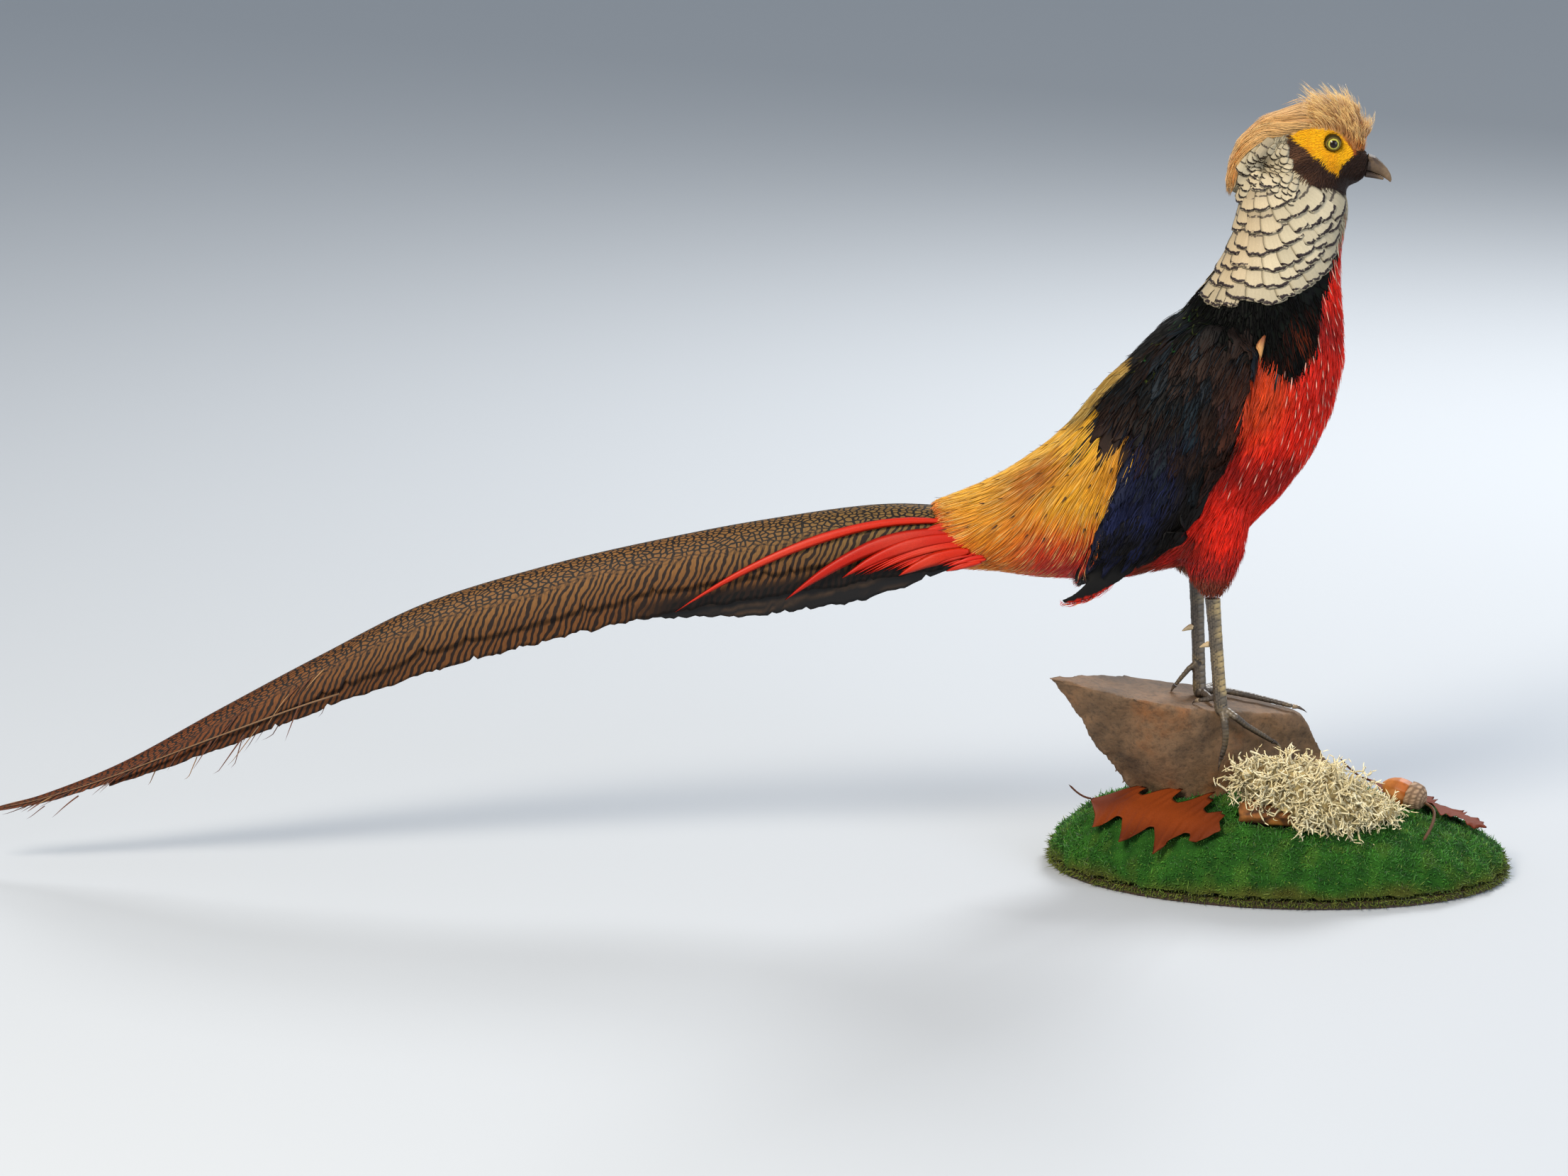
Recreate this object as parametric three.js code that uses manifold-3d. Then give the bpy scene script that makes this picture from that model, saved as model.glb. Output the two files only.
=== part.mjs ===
// A life-size mounted cock golden pheasant on an oval moss-covered base, in millimetres, +Z up.
// The bird faces +X and its long tail runs towards -X. The origin is the middle of the base's underside.
import * as THREE from "three";
import { mergeVertices } from "three/addons/utils/BufferGeometryUtils.js";
import Module from "manifold-3d";

const wasm = await Module();
wasm.setup();

// ---------- driving dimensions ----------

const GAP = 0.35; // clearance between neighbouring solids

const BASE = { halfLength: 160, halfDepth: 102, boardHeight: 5, mossHeight: 52, yaw: -7 };
const BOARD_INSET = 4; // how far the moss hangs out over the board
const MOSS_FULLNESS = 2.2; // how full the mound is: 2 is a plain dome, more is a cushion
const MOSS_SHOULDER = 0.55; // how gently the mound's edge rises
const MOSS_TILT = 0.14; // how much lower the mound is at +X than in the middle

const ROCK = { topAtLeft: 134.4, slope: 0.163, left: -160, right: 14, foot: 44 };

const EYE = { x: 22, y: 12.6, z: 501, radius: 6 };
const TAIL_PLATE = 1.6; // thickness of the tail's feather plates
const TAIL_SPACING = 1.2; // room between one layer of tail feathers and the next
const PLUME_PLATE = 1.0; // thickness of the red plumes beside the tail

// ---------- shape tools ----------

function solid(geometry) {
  const bare = geometry.clone();
  bare.deleteAttribute("normal");
  bare.deleteAttribute("uv");
  const merged = mergeVertices(bare, 1e-3);
  return new wasm.Manifold(
    new wasm.Mesh({
      numProp: 3,
      vertProperties: merged.attributes.position.array,
      triVerts: new Uint32Array(merged.index.array),
    }),
  );
}

function geometryOf(manifold) {
  const mesh = manifold.getMesh();
  const positions = new Float32Array(mesh.numVert * 3);
  for (let i = 0; i < mesh.numVert; i++) {
    const first = i * mesh.numProp;
    positions.set(mesh.vertProperties.subarray(first, first + 3), i * 3);
  }
  const geometry = new THREE.BufferGeometry();
  geometry.setAttribute("position", new THREE.BufferAttribute(positions, 3));
  geometry.setIndex(new THREE.BufferAttribute(new Uint32Array(mesh.triVerts), 1));
  return geometry;
}

// The one body left when a cut leaves crumbs: the largest.
function largest(manifold) {
  const bodies = manifold.decompose();
  return bodies.reduce((best, body) => (body.volume() > best.volume() ? body : best));
}

// A body along a spine. Each station is [x, y, z, half width, half height]: the width lies along side,
// the height across it. share is the stretch of the spine that is made, and grow thickens it all round.
function loft(stations, options = {}) {
  const { sides = 16, rows = 16, share = [0, 1], grow = 0, side = [0, 1, 0] } = options;
  const spine = new THREE.CatmullRomCurve3(stations.map((s) => new THREE.Vector3(s[0], s[1], s[2])));
  const girth = new THREE.CatmullRomCurve3(stations.map((s) => new THREE.Vector3(s[3], s[4], 0)));
  const geometry = new THREE.CylinderGeometry(1, 1, 1, sides, rows);
  const place = geometry.attributes.position;
  const hint = new THREE.Vector3(...side);
  for (let i = 0; i < place.count; i++) {
    const along = share[0] + (share[1] - share[0]) * (0.5 - place.getY(i));
    const centre = spine.getPoint(along);
    const tangent = spine.getTangent(along);
    const half = girth.getPoint(along);
    const across = hint.clone().addScaledVector(tangent, -hint.dot(tangent)).normalize();
    const upward = new THREE.Vector3().crossVectors(across, tangent);
    centre.addScaledVector(across, place.getX(i) * (Math.max(half.x, 0.2) + grow));
    centre.addScaledVector(upward, place.getZ(i) * (Math.max(half.y, 0.2) + grow));
    centre.addScaledVector(tangent, -2 * place.getY(i) * grow);
    place.setXYZ(i, centre.x, centre.y, centre.z);
  }
  return outward(solid(geometry), geometry);
}

// Turns a deformed geometry's solid the right way out.
function outward(made, geometry) {
  if (made.volume() > 0) return made;
  const index = geometry.index.array;
  for (let i = 0; i < index.length; i += 3) {
    [index[i + 1], index[i + 2]] = [index[i + 2], index[i + 1]];
  }
  return solid(geometry);
}

// A thin bent plate: at(u, v, w) gives a point for u along it, v across it and w through it, each 0 to 1.
function plate(at, along, across) {
  const geometry = new THREE.BoxGeometry(1, 1, 1, along, across, 1);
  const place = geometry.attributes.position;
  for (let i = 0; i < place.count; i++) {
    const point = at(place.getX(i) + 0.5, place.getY(i) + 0.5, place.getZ(i) + 0.5);
    place.setXYZ(i, ...point);
  }
  return outward(solid(geometry), geometry);
}

function ball(x, y, z, radius, segments = 16) {
  const geometry = new THREE.SphereGeometry(radius, segments, segments / 2);
  return solid(geometry.translate(x, y, z));
}

// An upright prism through an outline in the X-Z plane, from yLow to yHigh.
function sidePrism(points, yLow, yHigh) {
  const curve = new THREE.SplineCurve(points.map((p) => new THREE.Vector2(...p)));
  const shape = new THREE.Shape(curve.getPoints(Math.round(points.length * 1.5)));
  const geometry = new THREE.ExtrudeGeometry(shape, { depth: yHigh - yLow, bevelEnabled: false });
  geometry.rotateX(Math.PI / 2);
  return solid(geometry.translate(0, yHigh, 0));
}

function alongLine(stops, u) {
  const at = u * (stops.length - 1);
  const first = Math.min(Math.floor(at), stops.length - 2);
  return stops[first] + (stops[first + 1] - stops[first]) * (at - first);
}

// ---------- the base ----------

const yaw = THREE.MathUtils.degToRad(BASE.yaw);

// How far a point lies from the oval's middle, as a share of the way to its edge.
function ovalShare(x, y) {
  const along = x * Math.cos(yaw) + y * Math.sin(yaw);
  const over = -x * Math.sin(yaw) + y * Math.cos(yaw);
  return Math.hypot(along / BASE.halfLength, over / BASE.halfDepth);
}

function mossRise(share, x) {
  const rise = Math.pow(1 - Math.pow(Math.min(share, 1), MOSS_FULLNESS), MOSS_SHOULDER);
  return rise * BASE.mossHeight * (1 - (MOSS_TILT * x) / BASE.halfLength);
}

const mossTop = (x, y) => BASE.boardHeight + mossRise(ovalShare(x, y), x);

function board() {
  const shape = new THREE.Shape();
  const [halfLength, halfDepth] = [BASE.halfLength - BOARD_INSET, BASE.halfDepth - BOARD_INSET];
  shape.absellipse(0, 0, halfLength, halfDepth, 0, 2 * Math.PI, false, yaw);
  const depth = BASE.boardHeight - GAP;
  return solid(new THREE.ExtrudeGeometry(shape, { depth, bevelEnabled: false, curveSegments: 20 }));
}

function moss(grow = 0) {
  const rings = 5;
  const profile = [new THREE.Vector2(0, BASE.boardHeight)];
  for (let i = 0; i <= rings; i++) {
    const share = Math.sin(((rings - i) / rings) * (Math.PI / 2));
    profile.push(new THREE.Vector2(share, BASE.boardHeight + 1));
  }
  const geometry = new THREE.LatheGeometry(profile, 22);
  geometry.rotateX(Math.PI / 2).scale(BASE.halfLength, BASE.halfDepth, 1).rotateZ(yaw);
  const place = geometry.attributes.position;
  for (let i = 0; i < place.count; i++) {
    const above = place.getZ(i) - BASE.boardHeight;
    const top = mossTop(place.getX(i), place.getY(i)) + grow;
    if (above > 0.5) place.setZ(i, Math.max(top, BASE.boardHeight + 1 + grow));
  }
  return outward(solid(geometry), geometry);
}

function rockTop(x) {
  return ROCK.topAtLeft - ROCK.slope * (x - ROCK.left);
}

// A slab of stone, pointed at both ends like a boat, with a tilted flat top and an undercut front.
const ROCK_FRONT = [-2, -14, -24, -26, -19, -5, 8]; // the top's front edge, from left to right
const ROCK_BACK = [4, 28, 41, 44, 46, 37, 17];

function rock(grow = 0) {
  return plate(
    (u, v, w) => {
      const drawnIn = 1 - w;
      const undercut = 62 * Math.pow(1 - u, 2) * Math.pow(drawnIn, 0.8);
      const x = ROCK.left + (ROCK.right - ROCK.left) * u + undercut + 40 * u * drawnIn;
      const front = alongLine(ROCK_FRONT, u) + 17 * drawnIn;
      const y = front + (alongLine(ROCK_BACK, u) - front) * v;
      const z = ROCK.foot + (rockTop(x) - ROCK.foot) * w;
      return [x + grow * (2 * u - 1), y + 1.5 * grow * (2 * v - 1), z + grow * (2 * w - 1)];
    },
    6,
    2,
  );
}

// ---------- the bird's flesh and feathering as one outline ----------

// [x, y, z, half width, half height] from the ruff under the head to the root of the tail
const BODY = [
  [-1, 0, 481, 20, 33],
  [-2, 0, 461, 26, 38],
  [-5, 0, 438, 29, 37.5],
  [-9, 0, 415, 34, 41.5],
  [-14, 0, 391, 42, 50],
  [-24, 0, 357, 51, 62.5],
  [-46, 0, 321, 57, 70],
  [-80, 0, 285, 58, 71],
  [-123, 0, 259, 52, 58],
  [-168, 0, 245, 39, 42],
  [-207, 0, 238, 28, 29],
  [-236, 0, 233, 21, 23.5],
];
const NECK_END = 0.315; // where the neck becomes the trunk, as a share of the spine

const HEAD = [
  [-25, 0, 498, 5, 8],
  [-14, 0, 497, 14, 16],
  [0, 0, 494, 18, 22],
  [14, 0, 491, 18.5, 24],
  [27, 0, 488.5, 16, 21.5],
  [38, 0, 486.5, 12, 16.5],
  [46, 0, 485.5, 7.5, 10],
];
const CREST = [
  [43, 0, 499, 5, 6],
  [39, 0, 507, 10, 12],
  [30, 0, 516, 14, 17.5],
  [16, 0, 515, 16.5, 15.5],
  [-2, 0, 510, 17.5, 14],
  [-19, 0, 505, 17.5, 13],
  [-32, 0, 492, 15, 11],
  [-40, 0, 479, 10, 7],
  [-45, 0, 465, 4, 2],
];
const BILL_UPPER = [
  [40, 0, 487, 6, 7],
  [47, 0, 486.5, 5.4, 6.2],
  [53, 0, 483.5, 4.2, 4.8],
  [58.5, 0, 479.5, 2.8, 3.3],
  [61.8, 0, 475.5, 1.4, 1.8],
  [62.6, 0, 473.2, 0.4, 0.5],
];
const BILL_LOWER = [
  [40, 0, 480, 5, 3],
  [47, 0, 478.7, 4.4, 2.4],
  [53, 0, 477.2, 3.2, 1.8],
  [58, 0, 475.5, 1.6, 1],
];

const body = (share, grow = 0, rows = 12) => loft(BODY, { share, grow, rows, sides: 18 });
const trunkGrown = body([NECK_END, 1], GAP, 13);
const neckGrown = body([0, NECK_END], GAP, 8);
const headLoft = (grow) => loft(HEAD, { grow, rows: 8, sides: 12 });
const eyeBall = (side, grow = 0) => ball(EYE.x, side * EYE.y, EYE.z, EYE.radius + grow, 12);

function head() {
  let made = headLoft(0).subtract(neckGrown);
  for (const side of [-1, 1]) made = made.subtract(eyeBall(side, GAP));
  return largest(made);
}

function crest() {
  let made = loft(CREST, { rows: 10, sides: 10 }).subtract(headLoft(GAP)).subtract(neckGrown);
  for (const side of [-1, 1]) made = made.subtract(eyeBall(side, GAP));
  return largest(made);
}

function bill(stations, below) {
  const made = loft(stations, { rows: 7, sides: 10 }).subtract(headLoft(GAP));
  return largest(below ? made.subtract(loft(BILL_UPPER, { rows: 7, sides: 10, grow: GAP })) : made);
}

// ---------- wings ----------

// The folded wing's outline against the flank, from the shoulder down to the tip of the flight feathers
const WING = [
  [-28, 368],
  [-31, 346],
  [-38, 312],
  [-60, 274],
  [-75, 244],
  [-98, 222],
  [-131, 204],
  [-146, 200],
  [-134, 232],
  [-125, 264],
  [-107, 313],
  [-103, 342],
  [-88, 370],
  [-58, 388],
  [-28, 368],
];
const WING_DEPTH = 7; // how far the folded wing stands out from the flank
const WING_TIP_Y = 43; // how far out the tip of the flight feathers lies
const WING_TIP = [
  [-112, 0, 226, 3, 14],
  [-128, 0, 211, 3, 10],
  [-142, 0, 200.5, 2, 6],
  [-154, 0, 197.5, 1, 2.5],
];

const wingPrism = (side) => sidePrism(WING, ...(side < 0 ? [-120, -12] : [12, 120]));
const wingShell = (side, grow = 0) =>
  body([NECK_END - 0.06, 0.8], WING_DEPTH + grow, 8).intersect(wingPrism(side));

function wing(side) {
  const tip = loft(WING_TIP, { rows: 5, sides: 8 }).translate([0, side * WING_TIP_Y, 0]);
  return largest(wingShell(side).add(tip).subtract(trunkGrown).subtract(neckGrown));
}

// ---------- legs ----------

// Each leg runs from the feathered thigh to the ball of the foot. The right one, at -Y, stands a little
// forward on the stone's edge, with two toes bent down over it.
const LEGS = [
  { name: "right", side: -1, knee: [-52, -27, 216], ankle: [-51, -24, 197], foot: [-43, -20, 117] },
  { name: "left", side: 1, knee: [-63, 22, 220], ankle: [-58, 18, 200], foot: [-54.5, 14, 120] },
];

const between = (a, b, share) => a.map((value, k) => value + (b[k] - value) * share);

function thighStations({ knee, ankle }) {
  const up = ([x, y, z], rise) => [x, y, z + rise];
  return [
    [...up(knee, 42), 22, 26],
    [...up(knee, 16), 17.5, 23.5],
    [...up(knee, -3), 13.5, 17],
    [...up(ankle, 5), 9.5, 11.5],
    [...up(ankle, -1.5), 5.4, 6.8],
  ];
}

function shankStations({ ankle, foot: ball }) {
  const at = (share) => between(ankle, ball, share);
  return [
    [...at(-0.02), 4.4, 5.6],
    [...at(0.1), 3.7, 5],
    [...at(0.35), 3.3, 4.6],
    [...at(0.7), 3.3, 4.5],
    [...at(0.92), 3.9, 4.6],
    [...at(1), 4.2, 4.4],
  ];
}

// The course of each toe, from the ball of the foot or the back of the leg to the root of its claw
const TOES = {
  right: {
    middle: [[-41, -21, 117], [-33.5, -26, 112.5], [-26, -21.5, 105.5], [-16, -15, 98], [-7, -10, 91.5]],
    outer: [[-42, -21, 117], [-41, -26.5, 110], [-40, -26, 100], [-40.3, -24, 92], [-42, -22, 84]],
    inner: [[-42.5, -18, 117.5], [-42, -10, 118], [-41, -2, 117.5], [-40, 5, 117]],
    hind: [[-45.5, -18.5, 125], [-51, -16, 122.5], [-57, -13, 120.8]],
  },
  left: {
    middle: [
      [-53, 15, 120], [-43, 21, 119.4], [-33, 24, 117], [-18, 21.5, 114.4], [-4, 17.5, 112], [9, 13, 109.6],
    ],
    outer: [[-53.5, 17, 120], [-47, 26, 119.8], [-41, 35, 119], [-37, 43, 117.5]],
    inner: [[-53.5, 12, 120], [-50, 5, 119.4], [-48, -1, 119]],
    hind: [[-56.5, 14, 140], [-62, 14, 136], [-67.2, 14, 129.5], [-71, 14, 124.5]],
  },
};
const TOE_HALF = 3; // half the thickness of a toe at its root
const FOOT_FROM = 0.64; // where the foot begins, as a share of the leg bone's stations
const CLAWS = { middle: 11, outer: 10, inner: 9, hind: 6 };

function toeStations(leg, name) {
  const course = TOES[leg.name][name];
  return course.map((place, i) => {
    const half = TOE_HALF * (1 - (0.4 * i) / (course.length - 1)) * (name === "hind" ? 0.8 : 1);
    return [...place, half, half * 0.95];
  });
}

function clawStations(leg, name) {
  const [before, root] = TOES[leg.name][name].slice(-2);
  const step = root.map((value, k) => value - before[k]);
  const scale = CLAWS[name] / Math.hypot(...step);
  return [0, 0.4, 0.75, 1].map((share) => {
    const place = between(root, root.map((value, k) => value + step[k] * scale), share);
    place[2] += 1.4 * Math.sin(Math.PI * share) - 2 * share;
    return [...place, 1.6 * (1 - share) + 0.25, 1.8 * (1 - share) + 0.25];
  });
}

// A toe or claw lies on its side: its width is level.
function toeLoft(stations, grow = 0, sides = 6) {
  const [dx, dy] = [0, 1].map((k) => stations.at(-1)[k] - stations[0][k]);
  return loft(stations, { rows: stations.length - 1, sides, grow, side: [-dy, dx, 0] });
}

const shankLoft = (leg, share, grow = 0) =>
  loft(shankStations(leg), { share, grow, rows: 4, sides: 8 });

// The foot takes in the bottom of the leg bone, where the raised hind toe grows out.
function foot(leg, grow = 0) {
  const [x, y, z] = leg.foot;
  const pad = ball(x, y, z - 0.5, 4.4 + grow, 10).add(shankLoft(leg, [FOOT_FROM, 1], grow));
  const toes = Object.keys(TOES[leg.name]).map((name) => toeLoft(toeStations(leg, name), grow));
  return toes.reduce((made, toe) => made.add(toe), pad);
}

const claw = (leg, name, grow = 0) => toeLoft(clawStations(leg, name), grow, 6);

const SPUR_AT = 0.43; // how far down the leg the spur grows

function spur(leg) {
  const [x, y, z] = between(leg.ankle, leg.foot, SPUR_AT);
  return loft(
    [
      [x, y * 0.97, z, 2.2, 2.6],
      [x - 5.5, y * 0.9, z - 0.5, 1.9, 2.2],
      [x - 11, y * 0.84, z - 3, 0.4, 0.5],
    ],
    { rows: 4, sides: 8 },
  );
}

// ---------- tail ----------

// The ridge of the tail, its drop at each side and its half width, from the rump to the tip
const TAIL = [
  [-205, 0, 251, 22, 34],
  [-270, 0, 254.5, 23, 46],
  [-350, 0, 244, 23, 50],
  [-425, 0, 229.5, 22, 48],
  [-500, 0, 211.5, 22, 50],
  [-582, 0, 185.5, 21, 49],
  [-655, 0, 148.5, 18, 41],
  [-722, 0, 112, 15, 33],
  [-790, 0, 74, 10, 18],
  [-845, 0, 51, 6, 10],
  [-884, 0, 40, 2.5, 4],
];
const tailSpine = new THREE.CatmullRomCurve3(TAIL.map((s) => new THREE.Vector3(s[0], s[1], s[2])));
const tailGirth = new THREE.CatmullRomCurve3(TAIL.map((s) => new THREE.Vector3(s[3], s[4], 0)));

// A point of the vaulted tail: along it, round it from the ridge at 0 to the lower edge at 1, and in by depth
function tailPoint(along, round, depth, side) {
  const ridge = tailSpine.getPoint(along);
  const girth = tailGirth.getPoint(along);
  const angle = (round * Math.PI) / 2;
  const half = Math.max(girth.x - depth, 0.3);
  const drop = Math.max(girth.y - depth, 0.3);
  return [ridge.x, side * (GAP / 2 + half * Math.sin(angle)), ridge.z - depth - drop * (1 - Math.cos(angle))];
}

// The long central pair lies on top; the side pair shows below it and ends sooner.
function tailCentre(side) {
  return plate(
    (u, v, w) => tailPoint(u, v * 0.8 * (1 - 0.2 * u), w * TAIL_PLATE * (1 - 0.6 * u), side),
    20,
    3,
  );
}

function tailSide(side) {
  const depth = TAIL_PLATE + TAIL_SPACING;
  return plate(
    (u, v, w) => tailPoint(u * 0.86 + 0.01, 0.42 + 0.58 * v, depth + w * TAIL_PLATE * (1 - 0.5 * u), side),
    18,
    2,
  );
}

const TAIL_UNDER = [
  [-200, 0, 226, 15, 11],
  [-250, 0, 219, 15, 12],
  [-310, 0, 208, 14.5, 11],
  [-360, 0, 198.5, 12, 7],
  [-402, 0, 190.5, 8, 2.5],
];

// ---------- red plumes beside the tail ----------

// Each runs along the tail and round it, both as shares, and is as wide as it says.
const PLUMES = {
  long: { along: [0.04, 0.245], round: [0.36, 1.0], half: 3.4, bend: 2.6 },
  short: { along: [0.03, 0.175], round: [0.56, 1.02], half: 4.4, bend: 2.2 },
};

function plume(side, { along, round, half, bend }) {
  return plate(
    (u, v, w) => {
      const place = along[0] + (along[1] - along[0]) * u;
      const turn = round[0] + (round[1] - round[0]) * Math.pow(u, bend);
      const width = half * Math.pow(Math.sin(Math.PI * Math.min(u * 0.5 + 0.42, 0.995)), 0.7);
      const girth = tailGirth.getPoint(place);
      const across = ((v - 0.5) * 2 * width) / (girth.y * 1.2);
      return tailPoint(place, turn + across, -(1.2 + PLUME_PLATE * w), side);
    },
    9,
    1,
  );
}

// ---------- things on the base ----------

const BARK = [
  [-32, -46, 52, 9, 8],
  [-8, -50, 53, 14, 10],
  [24, -50, 53, 15, 11],
  [50, -44, 51, 11, 9],
  [70, -38, 48, 6, 5],
];
const LICHEN = [
  [-36, -38, 72, 6, 9],
  [-22, -42, 74, 15, 14],
  [0, -45, 66, 23, 25],
  [26, -48, 57, 25, 27],
  [48, -45, 52, 20, 20],
  [72, -38, 50, 6, 8],
];
const NUT = [
  [71, 2, 57.5, 1.5, 1.5],
  [75, -0.5, 56.5, 6.6, 6.6],
  [81, -4.2, 54.8, 9.3, 9.3],
  [86.5, -7.5, 53.3, 9.3, 9.3],
  [90, -9.6, 52.3, 7.6, 7.6],
];
const CUP = [
  [88, -8.4, 52.8, 10.2, 10.2],
  [92.5, -11.1, 51.6, 10.6, 10.6],
  [96.5, -13.5, 50.5, 7.6, 7.6],
  [98.6, -14.8, 49.9, 1.8, 1.8],
];

// An oak leaf with pointed lobes, laid on the moss: x, y and turn place it, and lift and curl raise it.
const LEAVES = {
  front: { x: -87, y: -31, turn: -42, length: 112, half: 37, lift: 1.2, curl: 4 },
  back: { x: 102, y: 7, turn: -27, length: 90, half: 27, lift: 1.0, curl: 8 },
};
const LEAF_PLATE = 1.6; // thickness of a leaf
const LOBES = 3; // pairs of lobes on a leaf
const STEP = 0.5; // how far apart the moss's height is measured for its slope

function lobeWidth(u) {
  const overall = Math.pow(Math.sin(Math.PI * Math.pow(u, 0.85)), 0.6);
  const lobe = Math.abs(Math.sin(Math.PI * (u * LOBES + 0.08)));
  return overall * (0.42 + 0.58 * lobe);
}

function leaf({ x, y, turn, length, half, lift, curl }) {
  const angle = THREE.MathUtils.degToRad(turn);
  return plate(
    (u, v, w) => {
      const along = (u - 0.5) * length;
      const over = (v - 0.5) * 2 * (half * lobeWidth(u) + 0.8);
      const px = x + along * Math.cos(angle) - over * Math.sin(angle);
      const py = y + along * Math.sin(angle) + over * Math.cos(angle);
      const rim = curl * Math.pow(Math.abs(v - 0.5) * 2, 2) * Math.pow(Math.abs(u - 0.5) * 2, 1.5);
      const slopeX = (mossTop(px + STEP, py) - mossTop(px - STEP, py)) / (2 * STEP);
      const slopeY = (mossTop(px, py + STEP) - mossTop(px, py - STEP)) / (2 * STEP);
      const upright = LEAF_PLATE * Math.min(Math.hypot(1, slopeX, slopeY), 2.2);
      return [px, py, mossTop(px, py) + lift + rim + upright * w];
    },
    14,
    2,
  );
}

// ---------- colours ----------

const material = (hex, roughness, metalness = 0) =>
  new THREE.MeshStandardMaterial({ color: hex, roughness, metalness });

const MATERIALS = {
  wood: material(0x3a2a1c, 0.7),
  moss: material(0x2f6a22, 0.95),
  stone: material(0x6b5242, 0.85),
  bark: material(0x8a5a34, 0.9),
  lichen: material(0xcfc49c, 0.9),
  oakLeaf: material(0xa0481c, 0.6),
  nut: material(0xc47a34, 0.4),
  cup: material(0x8c7258, 0.8),
  scarlet: material(0xb81408, 0.45),
  barred: material(0xd9c49a, 0.6),
  crest: material(0xcf9a4e, 0.5),
  face: material(0xd79a18, 0.6),
  horn: material(0x6a5e50, 0.4),
  scales: material(0x7d7058, 0.45),
  eye: material(0xd8cf5a, 0.05),
  dark: material(0x1a1c22, 0.5),
  tail: material(0x8c5a2e, 0.55),
};

// ---------- assembly ----------

const bird = new THREE.Group();
const base = new THREE.Group();

// Slivers that a cut leaves, thinner than this, are folded into their neighbours.
const SLIVER = 0.03;

function piece(group, name, made, look) {
  const mesh = new THREE.Mesh(geometryOf(largest(made.simplify(SLIVER))), MATERIALS[look]);
  mesh.name = name;
  group.add(mesh);
}

const barkLoft = (grow = 0) => loft(BARK, { rows: 6, sides: 8, grow });

const rockGrown = rock(GAP);
const feetGrown = LEGS.flatMap((leg) => [
  foot(leg, GAP),
  ...Object.keys(TOES[leg.name]).map((name) => claw(leg, name, GAP)),
]);
const withoutFeet = (made) => feetGrown.reduce((left, one) => left.subtract(one), made);
const mossSolid = moss().subtract(rockGrown).subtract(barkLoft(GAP));
const lichenLoft = loft(LICHEN, { rows: 7, sides: 10 });
const lichenSolid = withoutFeet(lichenLoft.subtract(rockGrown).subtract(barkLoft(GAP)).subtract(moss(GAP)));

piece(base, "base_board", board(), "wood");
piece(base, "base_moss", mossSolid, "moss");
piece(base, "base_rock", withoutFeet(rock()), "stone");
piece(base, "base_bark", barkLoft().subtract(rockGrown), "bark");
piece(base, "base_lichen", lichenSolid, "lichen");

const nutLoft = (grow = 0) => loft(NUT, { rows: 6, sides: 10, grow });
const cupLoft = (grow = 0) => loft(CUP, { rows: 4, sides: 10, grow });
const lichenGrown = loft(LICHEN, { rows: 7, sides: 10, grow: GAP });
const leafCut = (made) =>
  [moss(GAP), rockGrown, barkLoft(GAP), lichenGrown].reduce((left, one) => left.subtract(one), made);
piece(base, "base_leaf_front", leafCut(leaf(LEAVES.front)), "oakLeaf");
const backLeaf = leafCut(leaf(LEAVES.back)).subtract(nutLoft(GAP)).subtract(cupLoft(GAP));
piece(base, "base_leaf_back", backLeaf, "oakLeaf");
piece(base, "base_acorn_nut", nutLoft().subtract(moss(GAP)), "nut");
piece(base, "base_acorn_cup", cupLoft().subtract(nutLoft(GAP)).subtract(moss(GAP)), "cup");

piece(bird, "head", head(), "face");
piece(bird, "crest", crest(), "crest");
piece(bird, "bill_upper", bill(BILL_UPPER, false), "horn");
piece(bird, "bill_lower", bill(BILL_LOWER, true), "horn");
piece(bird, "neck", body([0, NECK_END], 0, 8), "barred");
piece(bird, "trunk", body([NECK_END + 0.002, 1], 0, 13), "scarlet");
piece(bird, "tail_under", loft(TAIL_UNDER, { rows: 8, sides: 12 }).subtract(trunkGrown), "dark");

const thighLoft = (leg, grow = 0) => loft(thighStations(leg), { rows: 6, sides: 10, grow });

for (const leg of LEGS) {
  const thigh = thighLoft(leg).subtract(trunkGrown).subtract(wingShell(leg.side, GAP));
  const shank = shankLoft(leg, [0, FOOT_FROM]).subtract(thighLoft(leg, GAP)).subtract(foot(leg, GAP));
  piece(bird, `eye_${leg.name}`, eyeBall(leg.side), "eye");
  piece(bird, `wing_${leg.name}`, wing(leg.side), "dark");
  piece(bird, `thigh_${leg.name}`, thigh, "scarlet");
  piece(bird, `shank_${leg.name}`, shank, "scales");
  piece(bird, `spur_${leg.name}`, spur(leg).subtract(shankLoft(leg, [0, 1], GAP)), "horn");
  piece(bird, `foot_${leg.name}`, foot(leg), "scales");
  for (const name of Object.keys(TOES[leg.name])) {
    const made = claw(leg, name).subtract(toeLoft(toeStations(leg, name), GAP));
    piece(bird, `claw_${leg.name}_${name}`, made, "horn");
  }
  piece(bird, `tail_centre_${leg.name}`, tailCentre(leg.side).subtract(trunkGrown), "tail");
  piece(bird, `tail_side_${leg.name}`, tailSide(leg.side).subtract(trunkGrown), "tail");
  for (const [name, form] of Object.entries(PLUMES)) {
    piece(bird, `plume_${name}_${leg.name}`, plume(leg.side, form).subtract(trunkGrown), "scarlet");
  }
}

const pheasant = new THREE.Group();
pheasant.add(base, bird);

export default pheasant;
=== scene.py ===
"""A mounted golden pheasant on its oval moss base: skin, feathers, horn, glass and the base's finishes."""

from functools import partial
from types import SimpleNamespace

import bpy
import numpy as np
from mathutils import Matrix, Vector
from mathutils.bvhtree import BVHTree


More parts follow.
